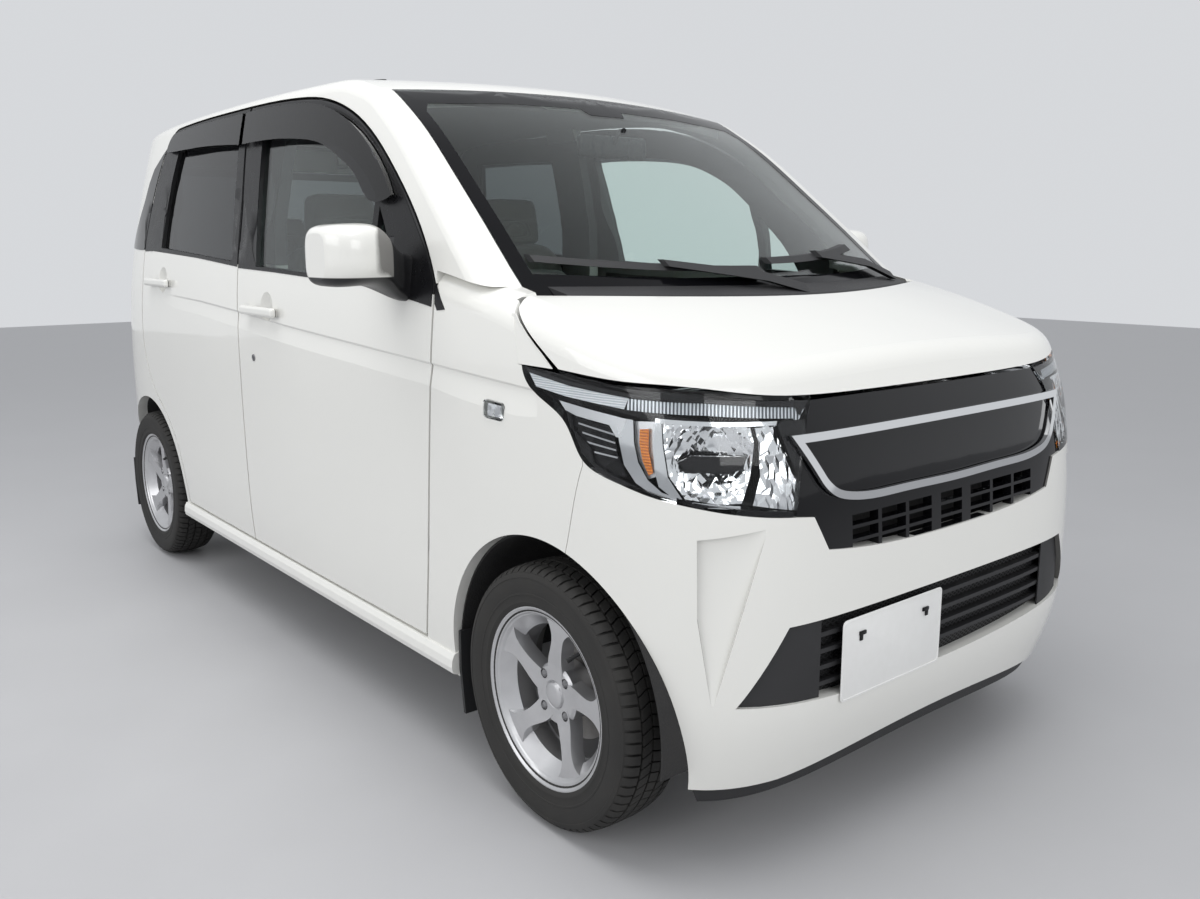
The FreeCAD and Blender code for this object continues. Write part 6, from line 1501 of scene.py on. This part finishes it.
class KEI_OT_roof_fittings(bpy.types.Operator):
    """Hang the inner mirror and the sun visors"""
    bl_idname = "kei.roof_fittings"
    bl_label = "Inner mirror and sun visors"

    def execute(self, context):
        bm = bmesh.new()
        centre, size, edge = INNER_MIRROR
        add_block(bm, mm(*centre), size, edge, steps=3)
        add_tube(bm, [mm(*place) for place in MIRROR_STALK], ROD_RADIUS, sides=12)
        piece("inner_mirror", bm, "car_body", "satin_black")
        bm = bmesh.new()
        wide, high = INNER_GLASS_HALF
        face = rectangle(mm(*INNER_GLASS), mm(0, wide, 0), mm(0, 0, high))
        add_plate(bm, rounded(face, INNER_CORNER), mm(-1.0, 0, 0))
        piece("inner_mirror_glass", bm, "car_body", "mirror_silver")
        turn = facing(Vector((1, 0, -VISOR_SLOPE)), -UP - AHEAD * VISOR_SLOPE)
        for name, side in SIDES:
            bm = bmesh.new()
            x, y, z = SUN_VISOR
            add_cushion(bm, mm(x, side * y, z), turn, VISOR_SIZE, crown=0.002, cuts=9)
            # The visors' headlining finish is darkened as painted shade of the cabin
            piece("sun_visor_" + name, bm, "car_body", "headlining", smooth=CLOTH_SMOOTH)
        return {"FINISHED"}


# Blocks of the engine bay: centre, size, edge and finish
BAY_BLOCKS = (
    ("cam_cover", (1215.0, -30.0, 752.0), (0.190, 0.440, 0.050), 0.015, "satin_black"),
    ("air_box", (1395.0, 120.0, 775.0), (0.150, 0.260, 0.095), 0.018, "soft_plastic"),
    ("battery", (1150.0, 300.0, 815.0), (0.125, 0.185, 0.170), 0.005, "satin_black"),
    ("battery_tray", (1150.0, 300.0, 728.0), (0.140, 0.200, 0.012), 0.003, "dark_steel"),
    ("coolant_bottle", (1480.0, -330.0, 800.0), (0.085, 0.140, 0.130), 0.022, "lamp_white"),
    ("fuse_box", (1330.0, 335.0, 800.0), (0.150, 0.110, 0.080), 0.010, "satin_black"),
    ("brake_reservoir", (905.0, -300.0, 905.0), (0.110, 0.070, 0.060), 0.014, "lamp_white"),
    ("lock_rail", (1580.0, 0.0, 868.0), (0.040, 0.760, 0.030), 0.006, "dark_steel"),
)
COVER_RIBS = 5
RIB_STEP = 32.0
COVER_RIB = ((1150.0, -30.0, 778.0), (0.012, 0.380, 0.008), 0.002)
# Hoses of the engine bay: radius and places
HOSES = (
    (0.026, ((1330.0, 60.0, 790.0), (1290.0, 0.0, 812.0), (1235.0, -70.0, 800.0), (1215.0, -110.0, 770.0))),
    (0.017, ((1585.0, -210.0, 690.0), (1540.0, -230.0, 780.0), (1450.0, -230.0, 800.0),
             (1300.0, -200.0, 765.0))),
    (0.006, ((1480.0, -330.0, 850.0), (1520.0, -290.0, 862.0), (1575.0, -250.0, 840.0),
             (1585.0, -230.0, 700.0))),
)


class KEI_OT_engine_bay(bpy.types.Operator):
    """Fill the engine bay with what shows when the bonnet is up"""
    bl_idname = "kei.engine_bay"
    bl_label = "Engine bay"

    def execute(self, context):
        for name, centre, size, edge, look in BAY_BLOCKS:
            block_piece(name, "car_body", look, [(centre, size, edge)], steps=3)
        (x, y, z), size, edge = COVER_RIB
        ribs = [((x + RIB_STEP * row, y, z), size, edge) for row in range(COVER_RIBS)]
        block_piece("cam_cover_ribs", "car_body", "satin_black", ribs)
        bm = bmesh.new()
        for radius, places in HOSES:
            add_tube(bm, curve_through([mm(*place) for place in places], count=8), radius, sides=14)
        piece("engine_hoses", bm, "car_body", "seal_rubber_and_painted_gap_shade", smooth=60.0)
        return {"FINISHED"}


# Stage

FLOOR_REACH = 14.0
SKY = (0.90, 0.92, 0.95, 1.0)
SKY_STRENGTH = 0.75
# Lamps: name, place, aim, width and height, and power
LAMPS = (
    ("top_lamp", (0.6, -1.2, 4.0), (0.2, -0.1, 0.3), (5.0, 2.2), 85.0),
    ("side_lamp", (0.5, -5.2, 2.6), (0.0, 0.0, 0.8), (5.0, 2.0), 60.0),
    ("front_lamp", (5.6, -0.6, 2.4), (1.0, 0.0, 0.7), (3.0, 2.0), 45.0),
)


def add_lamp(name, place, aim, size, strength):
    lamp = bpy.data.lights.new(name, "AREA")
    lamp.shape = "RECTANGLE"
    lamp.size, lamp.size_y = size
    lamp.energy = strength
    holder = bpy.data.objects.new(name, lamp)
    holder.location = place
    holder.rotation_mode = "QUATERNION"
    holder.rotation_quaternion = (Vector(aim) - Vector(place)).to_track_quat("-Z", "Y")
    bpy.context.scene.collection.objects.link(holder)


class KEI_OT_stage(bpy.types.Operator):
    """Make the floor, the sky's light, the lamps and the camera"""
    bl_idname = "kei.stage"
    bl_label = "Stage and camera"

    def execute(self, context):
        scene = context.scene
        scene.view_settings.view_transform = "Standard"
        mesh = bpy.data.meshes.new("stage_floor")
        corners = [(FLOOR_REACH * x, FLOOR_REACH * y, 0) for x, y in ((-1, -1), (1, -1), (1, 1), (-1, 1))]
        mesh.from_pydata(corners, [], [(0, 1, 2, 3)])
        floor = bpy.data.objects.new("stage_floor", mesh)
        scene.collection.objects.link(floor)
        s = Shader("stage_floor")
        soil = s.noise(2.0, 5.0)
        colour = s.blend(soil, (0.44, 0.44, 0.45), (0.50, 0.50, 0.51))
        mesh.materials.append(s.surface({"Base Color": colour, "Roughness": 0.45 + soil * 0.2}))
        world = bpy.data.worlds.new("stage_light")
        scene.world = world
        world.use_nodes = True
        sky = world.node_tree.nodes["Background"]
        sky.inputs["Color"].default_value = SKY
        sky.inputs["Strength"].default_value = SKY_STRENGTH
        for lamp in LAMPS:
            add_lamp(*lamp)
        data = bpy.data.cameras.new("camera")
        data.sensor_width = SENSOR_WIDTH
        data.lens = SENSOR_WIDTH * FOCAL_PIXELS / PHOTO_WIDTH
        data.shift_x = -CENTRE_SHIFT_PIXELS[0] / PHOTO_WIDTH
        data.shift_y = CENTRE_SHIFT_PIXELS[1] / PHOTO_WIDTH
        camera = bpy.data.objects.new("camera", data)
        camera.location = CAMERA_PLACE
        camera.rotation_mode = "QUATERNION"
        camera.rotation_quaternion = (CAMERA_AIM - CAMERA_PLACE).to_track_quat("-Z", "Y")
        scene.collection.objects.link(camera)
        scene.camera = camera
        return {"FINISHED"}


OPERATORS = (
    KEI_OT_stage, KEI_OT_finish_nodes, KEI_OT_tyres, KEI_OT_wheel_fittings, KEI_OT_window_trim,
    KEI_OT_front_fillers, KEI_OT_headlamps, KEI_OT_number_plates, KEI_OT_tail_trim, KEI_OT_side_fittings,
    KEI_OT_front_seats, KEI_OT_rear_seat, KEI_OT_dashboard, KEI_OT_door_linings, KEI_OT_roof_fittings,
    KEI_OT_engine_bay,
)


class KEI_PT_panel(bpy.types.Panel):
    """Lists the steps that dress the car"""
    bl_label = "Kei car"
    bl_space_type = "VIEW_3D"
    bl_region_type = "UI"
    bl_category = "Kei car"

    def draw(self, context):
        for name, group in SETTINGS:
            settings = getattr(context.scene, name)
            for key in group.__annotations__:
                self.layout.prop(settings, key)
        for operator in OPERATORS:
            self.layout.operator(operator.bl_idname)


def register():
    for name, group in SETTINGS:
        bpy.utils.register_class(group)
        setattr(bpy.types.Scene, name, bpy.props.PointerProperty(type=group))
    for cls in (*OPERATORS, KEI_PT_panel):
        bpy.utils.register_class(cls)


def unregister():
    for cls in reversed((*OPERATORS, KEI_PT_panel)):
        bpy.utils.unregister_class(cls)
    for name, group in reversed(SETTINGS):
        delattr(bpy.types.Scene, name)
        bpy.utils.unregister_class(group)


def main():
    register()
    for operator in OPERATORS:
        getattr(bpy.ops.kei, operator.bl_idname.split(".")[1])()


if __name__ == "__main__":
    main()
